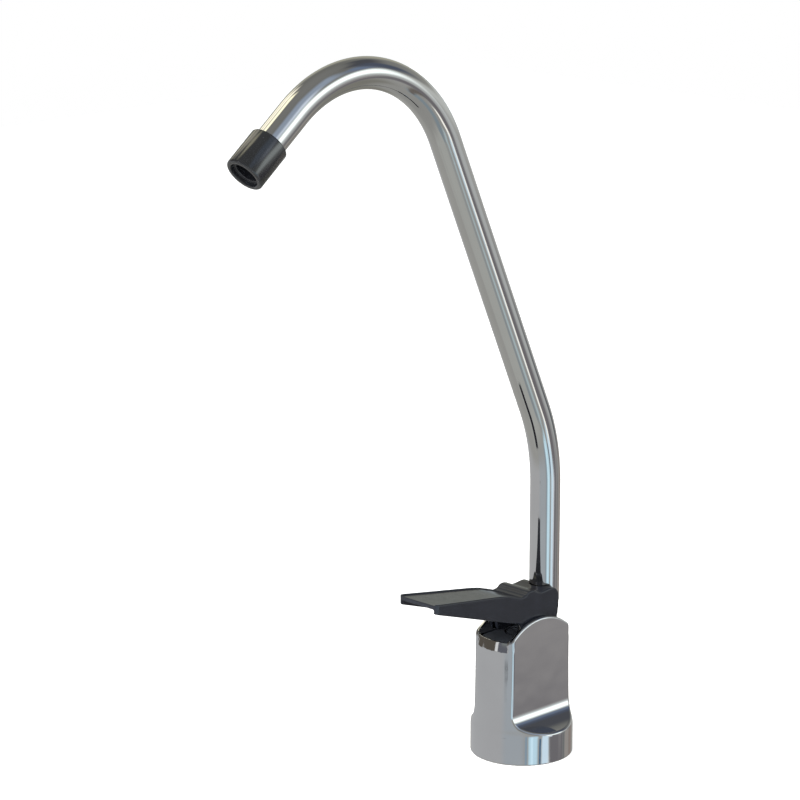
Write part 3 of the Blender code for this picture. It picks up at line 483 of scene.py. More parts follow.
def bored(piece, hole, top):
    """Drills two blind holes down into a piece's top, one on each side of its middle."""
    radius, foot = hole["radius"], top - hole["depth"]
    bit = [(0.0, top + 1.0), (radius, top + 1.0), (radius, foot), (0.0, foot - hole["drill point"])]
    for i, x in enumerate((hole["pitch"], -hole["pitch"])):
        drill = turned(f"drill_{i}", bit, 24, closed=False)
        drill.data.transform(Matrix.Translation((x * MM, 0.0, 0.0)))
        cut = piece.modifiers.new(f"hole_{i}", "BOOLEAN")
        cut.object = drill
        mesh = evaluated_mesh(piece)
        piece.modifiers.remove(cut)
        piece.data = mesh
        bpy.data.objects.remove(drill, do_unlink=True)
    return piece


def rubber_finish():
    """Matt black rubber with a faint bloom."""
    finish, tree, shader = new_finish("black_rubber", 0.0)
    uneven_colour(tree, shader, scale=420.0, colour=(0.022, 0.022, 0.023), other=(0.045, 0.045, 0.044))
    uneven_gloss(tree, shader, scale=900.0, low=0.62, high=0.85)
    texture = use_effect(tree, moulded_grain, Scale=3500.0)
    tree.links.new(relief(tree, texture.outputs["Height"], depth=0.00001), shader.inputs["Normal"])
    return finish


gland = bored(turned("gland_cap", GLAND_PROFILE), SPANNER_HOLE, GLAND_TOP)
fit(gland, insert_black, "gland_nut", "root")
black_rubber = rubber_finish()
stem_ring = turned("stem_seal_ring", ring_section(**STEM_RING), NARROW_STEPS)
fit(stem_ring, black_rubber, "stem_o_ring", "root")


# The stem is a steel pin with a head below its flat rubber seal. A brass cup holds the seal, and a wire
# spring stands between the cup and the gland. It all lifts together when the lever is pressed.
STEM_RADIUS = 1.6
STEM_TOP = 52.6
STEM_PROFILE = [
    (0.0, STEM_TOP), (STEM_RADIUS, STEM_TOP, 0.3), (STEM_RADIUS, 17.12), (1.95, 17.12, 0.1),
    (1.95, 15.62, 0.4), (0.0, 15.62)]
SEAL_PROFILE = [(3.6, 19.4, 0.15), (3.6, 17.2, 0.15), (1.85, 17.2, 0.1), (1.85, 19.4, 0.1)]
CUP_PROFILE = [
    (4.65, 21.2, 0.3), (4.65, 18.2, 0.1), (3.85, 18.2, 0.1), (3.85, 19.7, 0.1), (1.85, 19.7, 0.1),
    (1.85, 21.2, 0.1)]
SPRING = {"Mean radius": 4.1, "Wire radius": 0.35, "Height": 8.8, "Turns": 5.0}
SPRING_FOOT = 21.85


def turned_lines_effect():
    """Fine tool marks that run round a turned piece, as a height that changes along its axis and radius."""
    group, given, result = effect("turned_lines", {"Pitch": 0.00012}, "Height")
    coords = add_node(group, "ShaderNodeTexCoord")
    parts = add_node(group, "ShaderNodeSeparateXYZ", {"Vector": coords.outputs["Object"]})
    across = calculated(group, "POWER", parts.outputs["X"], 2.0)
    along = calculated(group, "POWER", parts.outputs["Y"], 2.0)
    radius = calculated(group, "SQRT", calculated(group, "ADD", across, along))
    travel = calculated(group, "ADD", radius, parts.outputs["Z"])
    turns = calculated(group, "DIVIDE", travel, given.outputs["Pitch"])
    lines = add_node(group, "ShaderNodeTexNoise", {
        "W": turns, "Scale": 1.0, "Detail": 3.0}, noise_dimensions="1D")
    group.links.new(lines.outputs["Fac"], result.inputs["Height"])
    return group


turned_lines = turned_lines_effect()


def turned_metal(name, colour, tarnish, smoothness, depth):
    """Bar stock off the lathe: tool marks round it, and a slow change of tone where it has dulled."""
    finish, tree, shader = new_finish(name, 1.0)
    uneven_colour(tree, shader, scale=280.0, colour=colour, other=tarnish)
    uneven_gloss(tree, shader, scale=500.0, low=0.8 * smoothness, high=1.3 * smoothness)
    lines = use_effect(tree, turned_lines)
    tree.links.new(relief(tree, lines.outputs["Height"], depth), shader.inputs["Normal"])
    return finish


def geometry_tree(name, inputs):
    """An empty Geometry Nodes tree with a geometry in and out, and named inputs for its sizes."""
    tree = bpy.data.node_groups.new(name, "GeometryNodeTree")
    tree.interface.new_socket("Geometry", in_out="INPUT", socket_type="NodeSocketGeometry")
    for label, (kind, value) in inputs.items():
        tree.interface.new_socket(label, in_out="INPUT", socket_type=kind).default_value = value
    tree.interface.new_socket("Geometry", in_out="OUTPUT", socket_type="NodeSocketGeometry")
    return tree, tree.nodes.new("NodeGroupInput"), tree.nodes.new("NodeGroupOutput")


def deliver(tree, result, geometry, finish):
    """Ends a tree: its instances made real, and its material set."""
    real = add_node(tree, "GeometryNodeRealizeInstances", {"Geometry": geometry})
    painted = add_node(tree, "GeometryNodeSetMaterial", {
        "Geometry": real.outputs["Geometry"], "Material": finish})
    tree.links.new(painted.outputs["Geometry"], result.inputs["Geometry"])


def grown(name, carrier, tree, values):
    """Runs a Geometry Nodes tree on a carrier object and keeps the result as a plain mesh piece."""
    step = carrier.modifiers.new("grow", "NODES")
    step.node_group = tree
    for socket in tree.interface.items_tree:
        if socket.in_out == "INPUT" and socket.name in values:
            step[socket.identifier] = values[socket.name]
    mesh = evaluated_mesh(carrier)
    carrier.modifiers.remove(step)
    bpy.data.objects.remove(carrier, do_unlink=True)
    mesh.name = name
    return new_object(name, mesh)


def spring_tree(finish):
    """A wire coil: a spiral of the mean radius, swept with the wire's own circle."""
    tree, given, result = geometry_tree("wire_coil", {
        "Mean radius": ("NodeSocketFloat", 0.004), "Wire radius": ("NodeSocketFloat", 0.0004),
        "Height": ("NodeSocketFloat", 0.009), "Turns": ("NodeSocketFloat", 5.0),
        "Foot": ("NodeSocketFloat", 0.0)})
    spiral = add_node(tree, "GeometryNodeCurveSpiral", {
        "Resolution": 48, "Rotations": given.outputs["Turns"], "Start Radius": given.outputs["Mean radius"],
        "End Radius": given.outputs["Mean radius"], "Height": given.outputs["Height"]})
    wire = add_node(tree, "GeometryNodeCurvePrimitiveCircle", {
        "Resolution": 14, "Radius": given.outputs["Wire radius"]})
    swept = add_node(tree, "GeometryNodeCurveToMesh", {
        "Curve": spiral.outputs["Curve"], "Profile Curve": wire.outputs["Curve"], "Fill Caps": True})
    lift = add_node(tree, "ShaderNodeCombineXYZ", {"Z": given.outputs["Foot"]})
    placed = add_node(tree, "GeometryNodeTransform", {
        "Geometry": swept.outputs["Mesh"], "Translation": lift.outputs[0]})
    deliver(tree, result, placed.outputs["Geometry"], finish)
    return tree


def empty_carrier(name):
    """An object with an empty mesh, for a Geometry Nodes tree that makes its own shape."""
    return new_object(name + "_carrier", bpy.data.meshes.new(name + "_carrier"))


bright_steel = turned_metal(
    "bright_steel", colour=(0.64, 0.64, 0.63), tarnish=(0.55, 0.55, 0.55), smoothness=0.24, depth=0.000002)
turned_brass = turned_metal(
    "turned_brass", colour=(0.74, 0.57, 0.30), tarnish=(0.60, 0.43, 0.21), smoothness=0.24, depth=0.000003)

pin = turned("lifting_pin", STEM_PROFILE, NARROW_STEPS, closed=False)
fit(pin, bright_steel, "stem", "stem_group")
seat_washer = turned("seat_washer", SEAL_PROFILE, NARROW_STEPS)
fit(seat_washer, black_rubber, "valve_seal", "stem_group")
washer_cup = turned("washer_cup", CUP_PROFILE, NARROW_STEPS)
fit(washer_cup, turned_brass, "seal_cup", "stem_group")
coil = grown("lift_spring", empty_carrier("lift_spring"), spring_tree(bright_steel), {
    "Mean radius": SPRING["Mean radius"] * MM, "Wire radius": SPRING["Wire radius"] * MM,
    "Height": SPRING["Height"] * MM, "Turns": SPRING["Turns"], "Foot": SPRING_FOOT * MM})
coil.data.shade_smooth()
fit(coil, bright_steel, "return_spring", "stem_group")
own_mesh(coil)


# The T-bar is a brass barrel screwed on the stem, with two round arms that the lever turns on. A thin
# hexagon nut below locks it at its height.
PIVOT_HEIGHT = 50.0
T_BAR_BARREL = (3.4, 6.2)
T_BAR_ARM = (1.6, 6.0)
T_BAR_EDGE = 0.4
ARM_EDGE = 0.3
STEM_CLEARANCE = 0.25
T_BAR_GRAIN = 0.2
LOCK_NUT = {
    "flats": 6.5, "top": 46.6, "height": 2.0, "bore": 1.85, "chamfer": (0.45, 0.25), "countersink": 0.2}


def t_bar_field(p):
    """The upright barrel with its two arms and the hole for the stem."""
    x, y, z = p.T
    radius, height = T_BAR_BARREL
    barrel = rounded_and(np.hypot(x, y) - radius, np.abs(z - PIVOT_HEIGHT) - height / 2, T_BAR_EDGE)
    arms = rounded_and(np.hypot(y, z - PIVOT_HEIGHT) - T_BAR_ARM[0], np.abs(x) - T_BAR_ARM[1], ARM_EDGE)
    hole = np.hypot(x, y) - STEM_RADIUS - STEM_CLEARANCE
    return rounded_and(rounded_or(barrel, arms, ARM_EDGE), -hole, HOLE_EDGE)


OUTER_SHARE = 0.45


def hexagonal(flats):
    """Limits a turned piece's outer radius to a hexagon, so that its turned ends become the chamfers."""
    def reshape(r, z, angle):
        """The radius at an angle, and the bore left as it is."""
        sector = (angle + math.pi / 6) % (math.pi / 3) - math.pi / 6
        reach = flats / 2 / math.cos(math.pi / 6 - abs(sector))
        return min(r, reach) if r > OUTER_SHARE * flats else r
    return reshape


def lock_nut_profile(nut):
    """The thin nut's outline: chamfered outside, countersunk at both ends of its bore."""
    corner, top, foot = nut["flats"] / math.sqrt(3), nut["top"], nut["top"] - nut["height"]
    inset, drop = nut["chamfer"]
    bore, sink = nut["bore"], nut["countersink"]
    return [
        (corner - inset, top), (corner, top - drop), (corner, foot + drop), (corner - inset, foot),
        (bore + sink, foot), (bore, foot + sink), (bore, top - sink), (bore + sink, top)]


cross_bar = fine_solid("cross_bar", "t_bar", t_bar_field, T_BAR_GRAIN)
fit(cross_bar, turned_brass, "t_bar", "stem_group")
thin_nut = turned("bar_lock_nut", lock_nut_profile(LOCK_NUT), 72, reshape=hexagonal(LOCK_NUT["flats"]))
fit(thin_nut, turned_brass, "lock_nut", "stem_group")


# The lever is one black moulding: a channel with deep rails and a sunk top plate, a humped hub over the
# T-bar, a heel that rocks on the valve body, and a fork that stands round the spout.
TIP = (49.6, 63.1)
FOREPART = (34.0, 60.85)
MIDDLE = (17.2, 58.4)
SHOULDER = (12.0, 57.15)
NECK = (7.5, 55.7)
TIP_DEPTH = 3.2
UNDER_SLOPE = 0.318
HUB_CREST = [
    (5.6, 56.0), (4.3, 56.85), (3.0, 57.1), (1.3, 56.85), (-0.4, 56.0), (-1.9, 55.6), (-4.0, 55.75),
    (-6.0, 56.0)]
REAR_CENTRE = (-6.8, 52.4)
REAR_ROUND = 3.6
REAR_SWEEP = (95, 180)
HEEL = [(-10.4, 49.4), (-9.9, 46.0), (-8.9, 42.6), (-8.3, 41.5), (5.2, 41.5), (6.0, 41.9), (6.4, 43.3)]
THROAT = (10.6, 43.3, 4.2)
THROAT_SWEEP = (180, 90)
ROUND_STEPS = 10
CREST_STEPS = 14
HUB_HALF_WIDTH = 6.7
TIP_HALF_WIDTH = 8.6
RAIL = 1.3
RAIL_TOP = 1.0
PLATE = 1.3
RECESS = 0.4
HUB_CEILING = 54.3
CEILING_END = 3.6
HOLLOW_EDGE = 0.5
FORK_RADIUS = 5.4
PIVOT_SOCKET = (1.85, 6.25)
LEVER_EDGE = 0.4
TIP_CORNER = 2.0
INNER_ROUND = 0.2
RECESS_ROUND = 0.15
FORK_EDGE = 0.3
SOCKET_EDGE = 0.1
PAST_TIP = 2.0
CLEAR_OF = {"back": -14.0, "front": 52.0, "below": 38.0, "above": 68.0}
LEVER_GRAIN = 0.27
LEVER_REACH = 0.2


def arc(centre_u, centre_v, radius, start, end, count):
    """Points on an arc, from the start to the end angle in degrees."""
    angles = [math.radians(start + (end - start) * i / count) for i in range(count + 1)]
    return [(centre_u + radius * math.cos(a), centre_v + radius * math.sin(a)) for a in angles]


def flowing(points, per_span=5):
    """A smooth line through its points."""
    line = []
    padded = [points[0]] + list(points) + [points[-1]]
    for a, b, c, d in zip(padded, padded[1:], padded[2:], padded[3:]):
        a, b, c, d = (np.array(q, float) for q in (a, b, c, d))
        for k in range(per_span):
            t = k / per_span
            line.append(tuple(0.5 * (2 * b + (c - a) * t + (2 * a - 5 * b + 4 * c - d) * t ** 2
                                     + (3 * b - a - 3 * c + d) * t ** 3)))
    return line + [tuple(points[-1])]


def under(forward):
    """Height of the rails' lower edge."""
    return TIP[1] - TIP_DEPTH - (TIP[0] - forward) * UNDER_SLOPE


def top_line(drop, past=0.0):
    """The rails' upper edge from the tip back to the neck, lowered by a drop."""
    slope = (TIP[1] - MIDDLE[1]) / (TIP[0] - MIDDLE[0])
    waypoints = [(TIP[0] + past, TIP[1] + past * slope), FOREPART, MIDDLE, SHOULDER, NECK]
    return flowing([(u, v - drop) for u, v in waypoints])


side_outline = top_line(0.0)[:-1] + flowing([NECK] + HUB_CREST, CREST_STEPS)
side_outline += arc(*REAR_CENTRE, REAR_ROUND, *REAR_SWEEP, ROUND_STEPS) + HEEL
side_outline += arc(*THROAT, *THROAT_SWEEP, ROUND_STEPS) + [(TIP[0], under(TIP[0]))]
hollow_outline = top_line(RECESS + PLATE, PAST_TIP) + [
    (CEILING_END, HUB_CEILING), (CLEAR_OF["back"], HUB_CEILING), (CLEAR_OF["back"], CLEAR_OF["below"]),
    (CLEAR_OF["front"], CLEAR_OF["below"])]
recess_outline = top_line(RECESS, PAST_TIP) + [
    (NECK[0] - RECESS, CLEAR_OF["above"]), (CLEAR_OF["front"], CLEAR_OF["above"])]


def lever_field(p):
    """The moulding: its side profile within its plan, less hollow, recess, fork and sockets."""
    x, y, z = p.T
    side, forward = np.abs(x), -y
    share = np.clip((forward - NECK[0]) / (TIP[0] - NECK[0]), 0.0, 1.2)
    width = HUB_HALF_WIDTH + share * (TIP_HALF_WIDTH - HUB_HALF_WIDTH)
    profile = outline_distance(side_outline, forward, z)
    plan = rounded_and(side - width, forward - TIP[0], TIP_CORNER)
    blank = rounded_and(profile, plan, LEVER_EDGE)
    hollow = rounded_and(outline_distance(hollow_outline, forward, z), side - width + RAIL, HOLLOW_EDGE)
    sunk = rounded_and(outline_distance(recess_outline, forward, z), side - width + RAIL_TOP, INNER_ROUND)
    fork = np.where(forward > -SPOUT_SETBACK, np.hypot(x, forward + SPOUT_SETBACK), side) - FORK_RADIUS
    socket = rounded_and(np.hypot(y, z - PIVOT_HEIGHT) - PIVOT_SOCKET[0], side - PIVOT_SOCKET[1], SOCKET_EDGE)
    body = rounded_and(blank, -hollow, INNER_ROUND)
    body = rounded_and(body, -sunk, RECESS_ROUND)
    return rounded_and(rounded_and(body, -fork, FORK_EDGE), -socket, SOCKET_EDGE)


lever_black = black_moulding(
    "lever_black", colour=(0.0095, 0.0108, 0.0150), smoothness=0.2, grain=0.0000003)
press_lever = fine_solid("press_lever", "lever", lever_field, LEVER_GRAIN, LEVER_REACH)
fit(press_lever, lever_black, "lever", "lever_group")


# The spout is one drawn tube, bent twice and plated: an upright behind the lever, a long lean forward,
# and a hook that turns down to the outlet.
TUBE_RADIUS = 5.0
TUBE_WALL = 0.8
TUBE_FOOT = 50.0
BEND_START = 90.0
LOWER_BEND = 64.4
LEAN = 24.3
LEAN_LENGTH = 102.5
HOOK_RADIUS = 41.8
TIP_ANGLE = 38.6
TIP_STRAIGHT = 19.0
END_STEP = 0.4
BEND_STEPS = 24
HOOK_STEPS = 96


def spout_line():
    """The tube's middle line as (forward, up), in even short steps round its two bends."""
    lean = math.radians(LEAN)
    tip = math.radians(TIP_ANGLE)
    line = [(-SPOUT_SETBACK, up) for up in (TUBE_FOOT, TUBE_FOOT + END_STEP, 0.5 * (TUBE_FOOT + BEND_START))]
    line += arc(LOWER_BEND - SPOUT_SETBACK, BEND_START, LOWER_BEND, 180, 180 - LEAN, BEND_STEPS)
    forward, up = line[-1]
    middle = (forward + 0.5 * LEAN_LENGTH * math.sin(lean), up + 0.5 * LEAN_LENGTH * math.cos(lean))
    forward, up = forward + LEAN_LENGTH * math.sin(lean), up + LEAN_LENGTH * math.cos(lean)
    line.append(middle)
    line += arc(forward + HOOK_RADIUS * math.cos(lean), up - HOOK_RADIUS * math.sin(lean),
                HOOK_RADIUS, 180 - LEAN, 90 - TIP_ANGLE, HOOK_STEPS)
    forward, up = line[-1]
    for length in (TIP_STRAIGHT - END_STEP, TIP_STRAIGHT):
        line.append((forward + length * math.cos(tip), up - length * math.sin(tip)))
    return line


def tube_tree(finish):
    """Sweeps a circle along the carrier's curve."""
    tree, given, result = geometry_tree("swept_tube", {
        "Radius": ("NodeSocketFloat", 0.005), "Sides": ("NodeSocketInt", 96)})
    circle = add_node(tree, "GeometryNodeCurvePrimitiveCircle", {
        "Resolution": given.outputs["Sides"], "Radius": given.outputs["Radius"]})
    swept = add_node(tree, "GeometryNodeCurveToMesh", {
        "Curve": given.outputs["Geometry"], "Profile Curve": circle.outputs["Curve"]})
    deliver(tree, result, swept.outputs["Mesh"], finish)
    return tree


def line_carrier(name, line):
    """A curve object along a line of (forward, up) points in the plane of the spout."""
    curve = bpy.data.curves.new(name + "_line", "CURVE")
    curve.dimensions = "3D"
    spline = curve.splines.new("POLY")
    spline.points.add(len(line) - 1)
    for point, (forward, up) in zip(spline.points, line):
        point.co = (0.0, -forward * MM, up * MM, 1.0)
    return new_object(name + "_line", curve)


tube_chrome = chrome_plate(
    "tube_chrome", colour=(0.66, 0.66, 0.655), smoothness=0.06, wave=0.00001, peel=0.000001)
tube_line = line_carrier("bent_tube", spout_line())
tube = grown("bent_tube", tube_line, tube_tree(tube_chrome), {"Radius": TUBE_RADIUS * MM})
tube.data.shade_smooth()
wall = tube.modifiers.new("wall", "SOLIDIFY")
wall.thickness = TUBE_WALL * MM
wall.offset = -1.0
fit(tube, tube_chrome, "spout_tube", "spout_group")


# The spout's foot is a black plug pressed into the tube, with a collar that turns on the valve body. Its
# spigot carries a split steel ring that holds the spout in, and two small rubber rings.
GROOVE_HEIGHTS = (38.5, 35.0, 31.5)
SPIGOT_RADIUS = 2.65
GROOVE_RADIUS = 2.03
GROOVE_HALF_WIDTH = 0.55
GROOVE_EDGE = 0.05
COLLAR = [
    (3.5, 57.9, 0.4), (3.95, 57.3, 0.2), (3.95, 49.7), (4.4, 49.7, 0.2), (4.4, 43.1, 0.3), (3.5, 42.3, 0.2),
    (3.5, 41.5), (SPIGOT_RADIUS, 41.5)]
SPIGOT_END = [(SPIGOT_RADIUS, 25.5, 0.4), (1.2, 25.5, 0.1), (1.2, 57.9, 0.1)]
SPOUT_RING = (2.45, 0.76)
CLIP = {"radii": (2.11, 2.61), "heights": (38.15, 38.85), "half_gap": 0.4,
        "gap_radius": 2.3, "steps": 44}


def groove(height):
    """A ring groove in the spigot, from its upper to its lower edge."""
    upper, lower = height + GROOVE_HALF_WIDTH, height - GROOVE_HALF_WIDTH
    return [(SPIGOT_RADIUS, upper, GROOVE_EDGE), (GROOVE_RADIUS, upper), (GROOVE_RADIUS, lower),
            (SPIGOT_RADIUS, lower, GROOVE_EDGE)]


spigot = COLLAR + [point for height in GROOVE_HEIGHTS for point in groove(height)] + SPIGOT_END
plug = turned("spout_plug", spigot, 64, SPOUT_SETBACK)
fit(plug, insert_black, "spout_foot", "spout_group")
for place, height in zip(("upper", "lower"), GROOVE_HEIGHTS[1:]):
    section = ring_section(SPOUT_RING[0], height, SPOUT_RING[1], 12)
    seal = turned(f"spout_ring_{place}", section, NARROW_STEPS, SPOUT_SETBACK)
    fit(seal, black_rubber, f"spout_o_ring_{place}", "spout_group")


def split_ring(name, radii, heights, half_gap, gap_radius, steps):
    """A flat wire ring with a gap at its back."""
    (inner, outer), (low, high) = radii, heights
    section = [(outer, high), (outer, low), (inner, low), (inner, high)]
    opening = math.asin(half_gap / gap_radius)
    shape = bmesh.new()
    rows = []
    for k in range(steps + 1):
        angle = math.pi / 2 + opening + (math.tau - 2 * opening) * k / steps
        places = [(r * math.cos(angle), SPOUT_SETBACK + r * math.sin(angle), z) for r, z in section]
        rows.append([shape.verts.new([MM * value for value in place]) for place in places])
    for a, b in zip(rows, rows[1:]):
        for i in range(4):
            shape.faces.new([a[i], a[(i + 1) % 4], b[(i + 1) % 4], b[i]])
    shape.faces.new(rows[0])
    shape.faces.new(rows[-1])
    return new_object(name, closed_mesh(name, shape))


clip = split_ring("retaining_ring", **CLIP)
fit(clip, bright_steel, "spout_clip", "spout_group")


# The tip is a glossy black cap, moulded and pushed on the tube's end as far as a stop inside it.
# Its mouth is sunk a little, and the water leaves through a smaller bore.
CAP_RADIUS = 6.25
CAP_TOP = 6.6
CAP_BOTTOM = -6.7
CAP_MOUTH = CAP_BOTTOM + 1.4
CAP_STOP = -0.3
CAP_PROFILE = [
    (CAP_RADIUS, CAP_TOP, 0.45), (CAP_RADIUS, CAP_BOTTOM, 0.9), (4.75, CAP_BOTTOM, 0.25),
    (4.55, CAP_MOUTH, 0.1), (3.7, CAP_MOUTH, 0.25), (3.7, CAP_STOP, 0.1), (5.25, CAP_STOP, 0.1),
    (5.25, CAP_TOP, 0.2)]
cap_black = black_moulding(
    "cap_black", colour=(0.0045, 0.005, 0.006), smoothness=0.12, grain=0.0000003, refraction=1.85)
cap = turned("outlet_cap", CAP_PROFILE, WIDE_STEPS)
tip_forward, tip_up = spout_line()[-1]
aim = Matrix.Rotation(math.radians(TIP_ANGLE - 90.0), 4, "X")
cap.data.transform(Matrix.Translation((0.0, -tip_forward * MM, tip_up * MM)) @ aim)
fit(cap, cap_black, "spout_tip", "spout_group")


# The shank is a brass tube with a 7/16 inch thread. It screws into the valve body through the shell's
# floor and goes down through the deck. A rubber ring on its nose seals it.
SHANK_RADIUS = 5.55
SHANK_ENDS = (-50.0, 12.4)
SHANK_BORE = (3.0, 3.4, -41.0)
NOSE = (4.0, 14.0)
NOSE_EDGE = 0.3
NOSE_RING = {"ring_radius": 4.73, "height": 13.25, "thickness": 1.3}
THREAD_PITCH = 25.4 / 24
THREAD_DEPTH = 0.42
THREAD_FLANK = 2.4
THREAD_CREST = 0.1
THREAD_ROWS = 8
THREADED_FROM = 5.4
END_CHAMFER = 0.4
FOOT_CHAMFER = (0.5, 0.6)
RUN_OUT = 0.8


def thread_cut(z, angle):
    """Depth of the thread at a height and an angle, as a rounded V."""
    phase = (z / THREAD_PITCH - angle / math.tau) % 1.0
    return THREAD_DEPTH * min(1.0, max(0.0, THREAD_FLANK * abs(phase - 0.5) - THREAD_CREST))


def rows_between(radius, top, bottom):
    """Profile points down a straight side, close enough together to carry a thread."""
    count = max(2, round(abs(top - bottom) / THREAD_PITCH * THREAD_ROWS))
    return [(radius, top + (bottom - top) * i / count) for i in range(count + 1)]


def shank_thread(r, z, angle):
    """The shank's radius with its thread, which runs out towards both ends."""
    below, above = z - SHANK_ENDS[0] - END_CHAMFER, SHANK_ENDS[1] - END_CHAMFER - z
    ends = min(1.0, max(0.0, below / RUN_OUT), max(0.0, above / RUN_OUT))
    return r - thread_cut(z, angle) * ends if r > THREADED_FROM else r


bore, wide_bore, step_height = SHANK_BORE
foot, top = SHANK_ENDS
nose, nose_top = NOSE
shank_profile = [(bore, nose_top), (nose - NOSE_EDGE, nose_top), (nose, nose_top - NOSE_EDGE), (nose, top)]
shank_profile += [(SHANK_RADIUS - END_CHAMFER, top)]
shank_profile += rows_between(SHANK_RADIUS, top - END_CHAMFER, foot + FOOT_CHAMFER[1])
shank_profile += [(SHANK_RADIUS - FOOT_CHAMFER[0], foot)]
shank_profile += [(wide_bore, foot), (wide_bore, step_height), (bore, step_height)]
shank = turned("threaded_shank", shank_profile, 64, reshape=shank_thread)
fit(shank, turned_brass, "shank", "root")
nose_ring = turned("shank_seal_ring", ring_section(**NOSE_RING), NARROW_STEPS)
fit(nose_ring, black_rubber, "shank_o_ring", "root")


# A rubber gasket sits in the shell's base. Below the deck a rubber washer, a plain steel washer and a
# toothed washer are pressed up by the mounting nut.
WASHER_BORE = 5.8
GASKET = {"radius": 14.5, "top": 2.1, "foot": 0.0, "outer_edge": 0.2, "inner_edge": 0.2}
RUBBER_WASHER = {"radius": 14.0, "top": -12.0, "foot": -14.0, "outer_edge": 0.3, "inner_edge": 0.2}
PLAIN_WASHER = [
    (15.0, -14.3, 0.35), (15.0, -15.7, 0.15), (WASHER_BORE, -15.7, 0.15), (WASHER_BORE, -14.3, 0.25)]
TOOTHED = {"Teeth": 10, "Root radius": 8.1, "Radius": 9.4, "Thickness": 1.2, "Middle": -16.6}
TOOTH_SIZE = {"overlap": 0.1, "width": 2.9, "share of thickness": 0.55, "twist": 14.0}


def washer_profile(radius, top, foot, outer_edge, inner_edge):
    """Section of a flat ring with rounded edges, on the shank's bore."""
    return [(radius, top, outer_edge), (radius, foot, outer_edge), (WASHER_BORE, foot, inner_edge),
            (WASHER_BORE, top, inner_edge)]


gasket = turned("foot_gasket", washer_profile(**GASKET), WIDE_STEPS)
fit(gasket, black_rubber, "base_gasket", "root")
rubber_washer = turned("rubber_washer", washer_profile(**RUBBER_WASHER), WIDE_STEPS)
fit(rubber_washer, black_rubber, "deck_washer", "root")
plain_washer = turned("plain_washer", PLAIN_WASHER, WIDE_STEPS)
fit(plain_washer, bright_steel, "clamp_washer", "root")


def toothed_tree(finish):
    """A flat ring with twisted teeth set round it."""
    tree, given, result = geometry_tree("toothed_washer", {
        "Teeth": ("NodeSocketInt", 10), "Root radius": ("NodeSocketFloat", 0.008),
        "Tooth": ("NodeSocketVector", (0.002, 0.003, 0.001)), "Middle": ("NodeSocketFloat", 0.0)})
    places = add_node(tree, "GeometryNodeMeshCircle", {
        "Vertices": given.outputs["Teeth"], "Radius": given.outputs["Root radius"]})
    tooth = add_node(tree, "GeometryNodeMeshCube", {
        "Size": given.outputs["Tooth"], "Vertices X": 3, "Vertices Y": 5, "Vertices Z": 2})
    here = add_node(tree, "GeometryNodeInputPosition")
    turn = add_node(tree, "ShaderNodeVectorRotate", {
        "Vector": here.outputs["Position"], "Angle": math.radians(TOOTH_SIZE["twist"])},
        rotation_type="X_AXIS")
    twisted = add_node(tree, "GeometryNodeSetPosition", {
        "Geometry": tooth.outputs["Mesh"], "Position": turn.outputs["Vector"]})
    outward = add_node(tree, "ShaderNodeVectorMath", {0: here.outputs["Position"]}, operation="NORMALIZE")
    facing = add_node(tree, "FunctionNodeAlignRotationToVector", {"Vector": outward.outputs[0]}, axis="X")
    set_round = add_node(tree, "GeometryNodeInstanceOnPoints", {
        "Points": places.outputs["Mesh"], "Instance": twisted.outputs["Geometry"],
        "Rotation": facing.outputs["Rotation"]})
    lift = add_node(tree, "ShaderNodeCombineXYZ", {"Z": given.outputs["Middle"]})
    moved = add_node(tree, "GeometryNodeTransform", {
        "Geometry": set_round.outputs["Instances"], "Translation": lift.outputs[0]})
    both = add_node(tree, "GeometryNodeJoinGeometry")
    tree.links.new(given.outputs["Geometry"], both.inputs["Geometry"])
    tree.links.new(moved.outputs["Geometry"], both.inputs["Geometry"])
    deliver(tree, result, both.outputs["Geometry"], finish)
    return tree


half = TOOTHED["Thickness"] / 2
ring_top, ring_foot = TOOTHED["Middle"] + half, TOOTHED["Middle"] - half
washer_ring = turned("washer_ring", washer_profile(TOOTHED["Root radius"], ring_top, ring_foot, 0.1, 0.1), 60)
tooth_length = 2 * (TOOTHED["Radius"] - TOOTHED["Root radius"] - TOOTH_SIZE["overlap"])
tooth_height = TOOTH_SIZE["share of thickness"] * TOOTHED["Thickness"]
toothed = grown("tooth_washer", washer_ring, toothed_tree(bright_steel), {
    "Teeth": TOOTHED["Teeth"], "Root radius": TOOTHED["Root radius"] * MM, "Middle": TOOTHED["Middle"] * MM,
    "Tooth": (tooth_length * MM, TOOTH_SIZE["width"] * MM, tooth_height * MM)})
fit(toothed, bright_steel, "lock_washer", "root")


# The mounting nut runs on the shank's thread and clamps the deck. At the shank's foot the inlet nut
# presses a tapered sleeve on the supply tube.
NUT_BORE = 5.8
MOUNTING_NUT = {"flats": 17.5, "top": -17.5, "foot": -23.0}
INLET_NUT = {"flats": 14.3, "top": -43.1, "foot": -53.6, "wall": 1.7, "hole": 3.4}
FACE_INSET = 0.15
CHAMFER_STEPS = 8
COUNTERSINK = 0.4
THREAD_RELIEF = 2.4
SLEEVE_PROFILE = [(4.75, -50.3, 0.1), (5.15, -51.6, 0.1), (3.4, -51.6, 0.05), (3.4, -50.3, 0.1)]


def nut_shape(flats, low, high):
    """A hexagon outside and the shank's thread inside, between two heights."""
    outside = hexagonal(flats)

    def reshape(r, z, angle):
        """The outer radius at an angle, or the bore's with its thread."""
        if r > OUTER_SHARE * flats:
            return outside(r, z, angle)
        threaded = low < z < high and abs(r - NUT_BORE) < 0.1
        return r - thread_cut(z, angle) if threaded else r
    return reshape


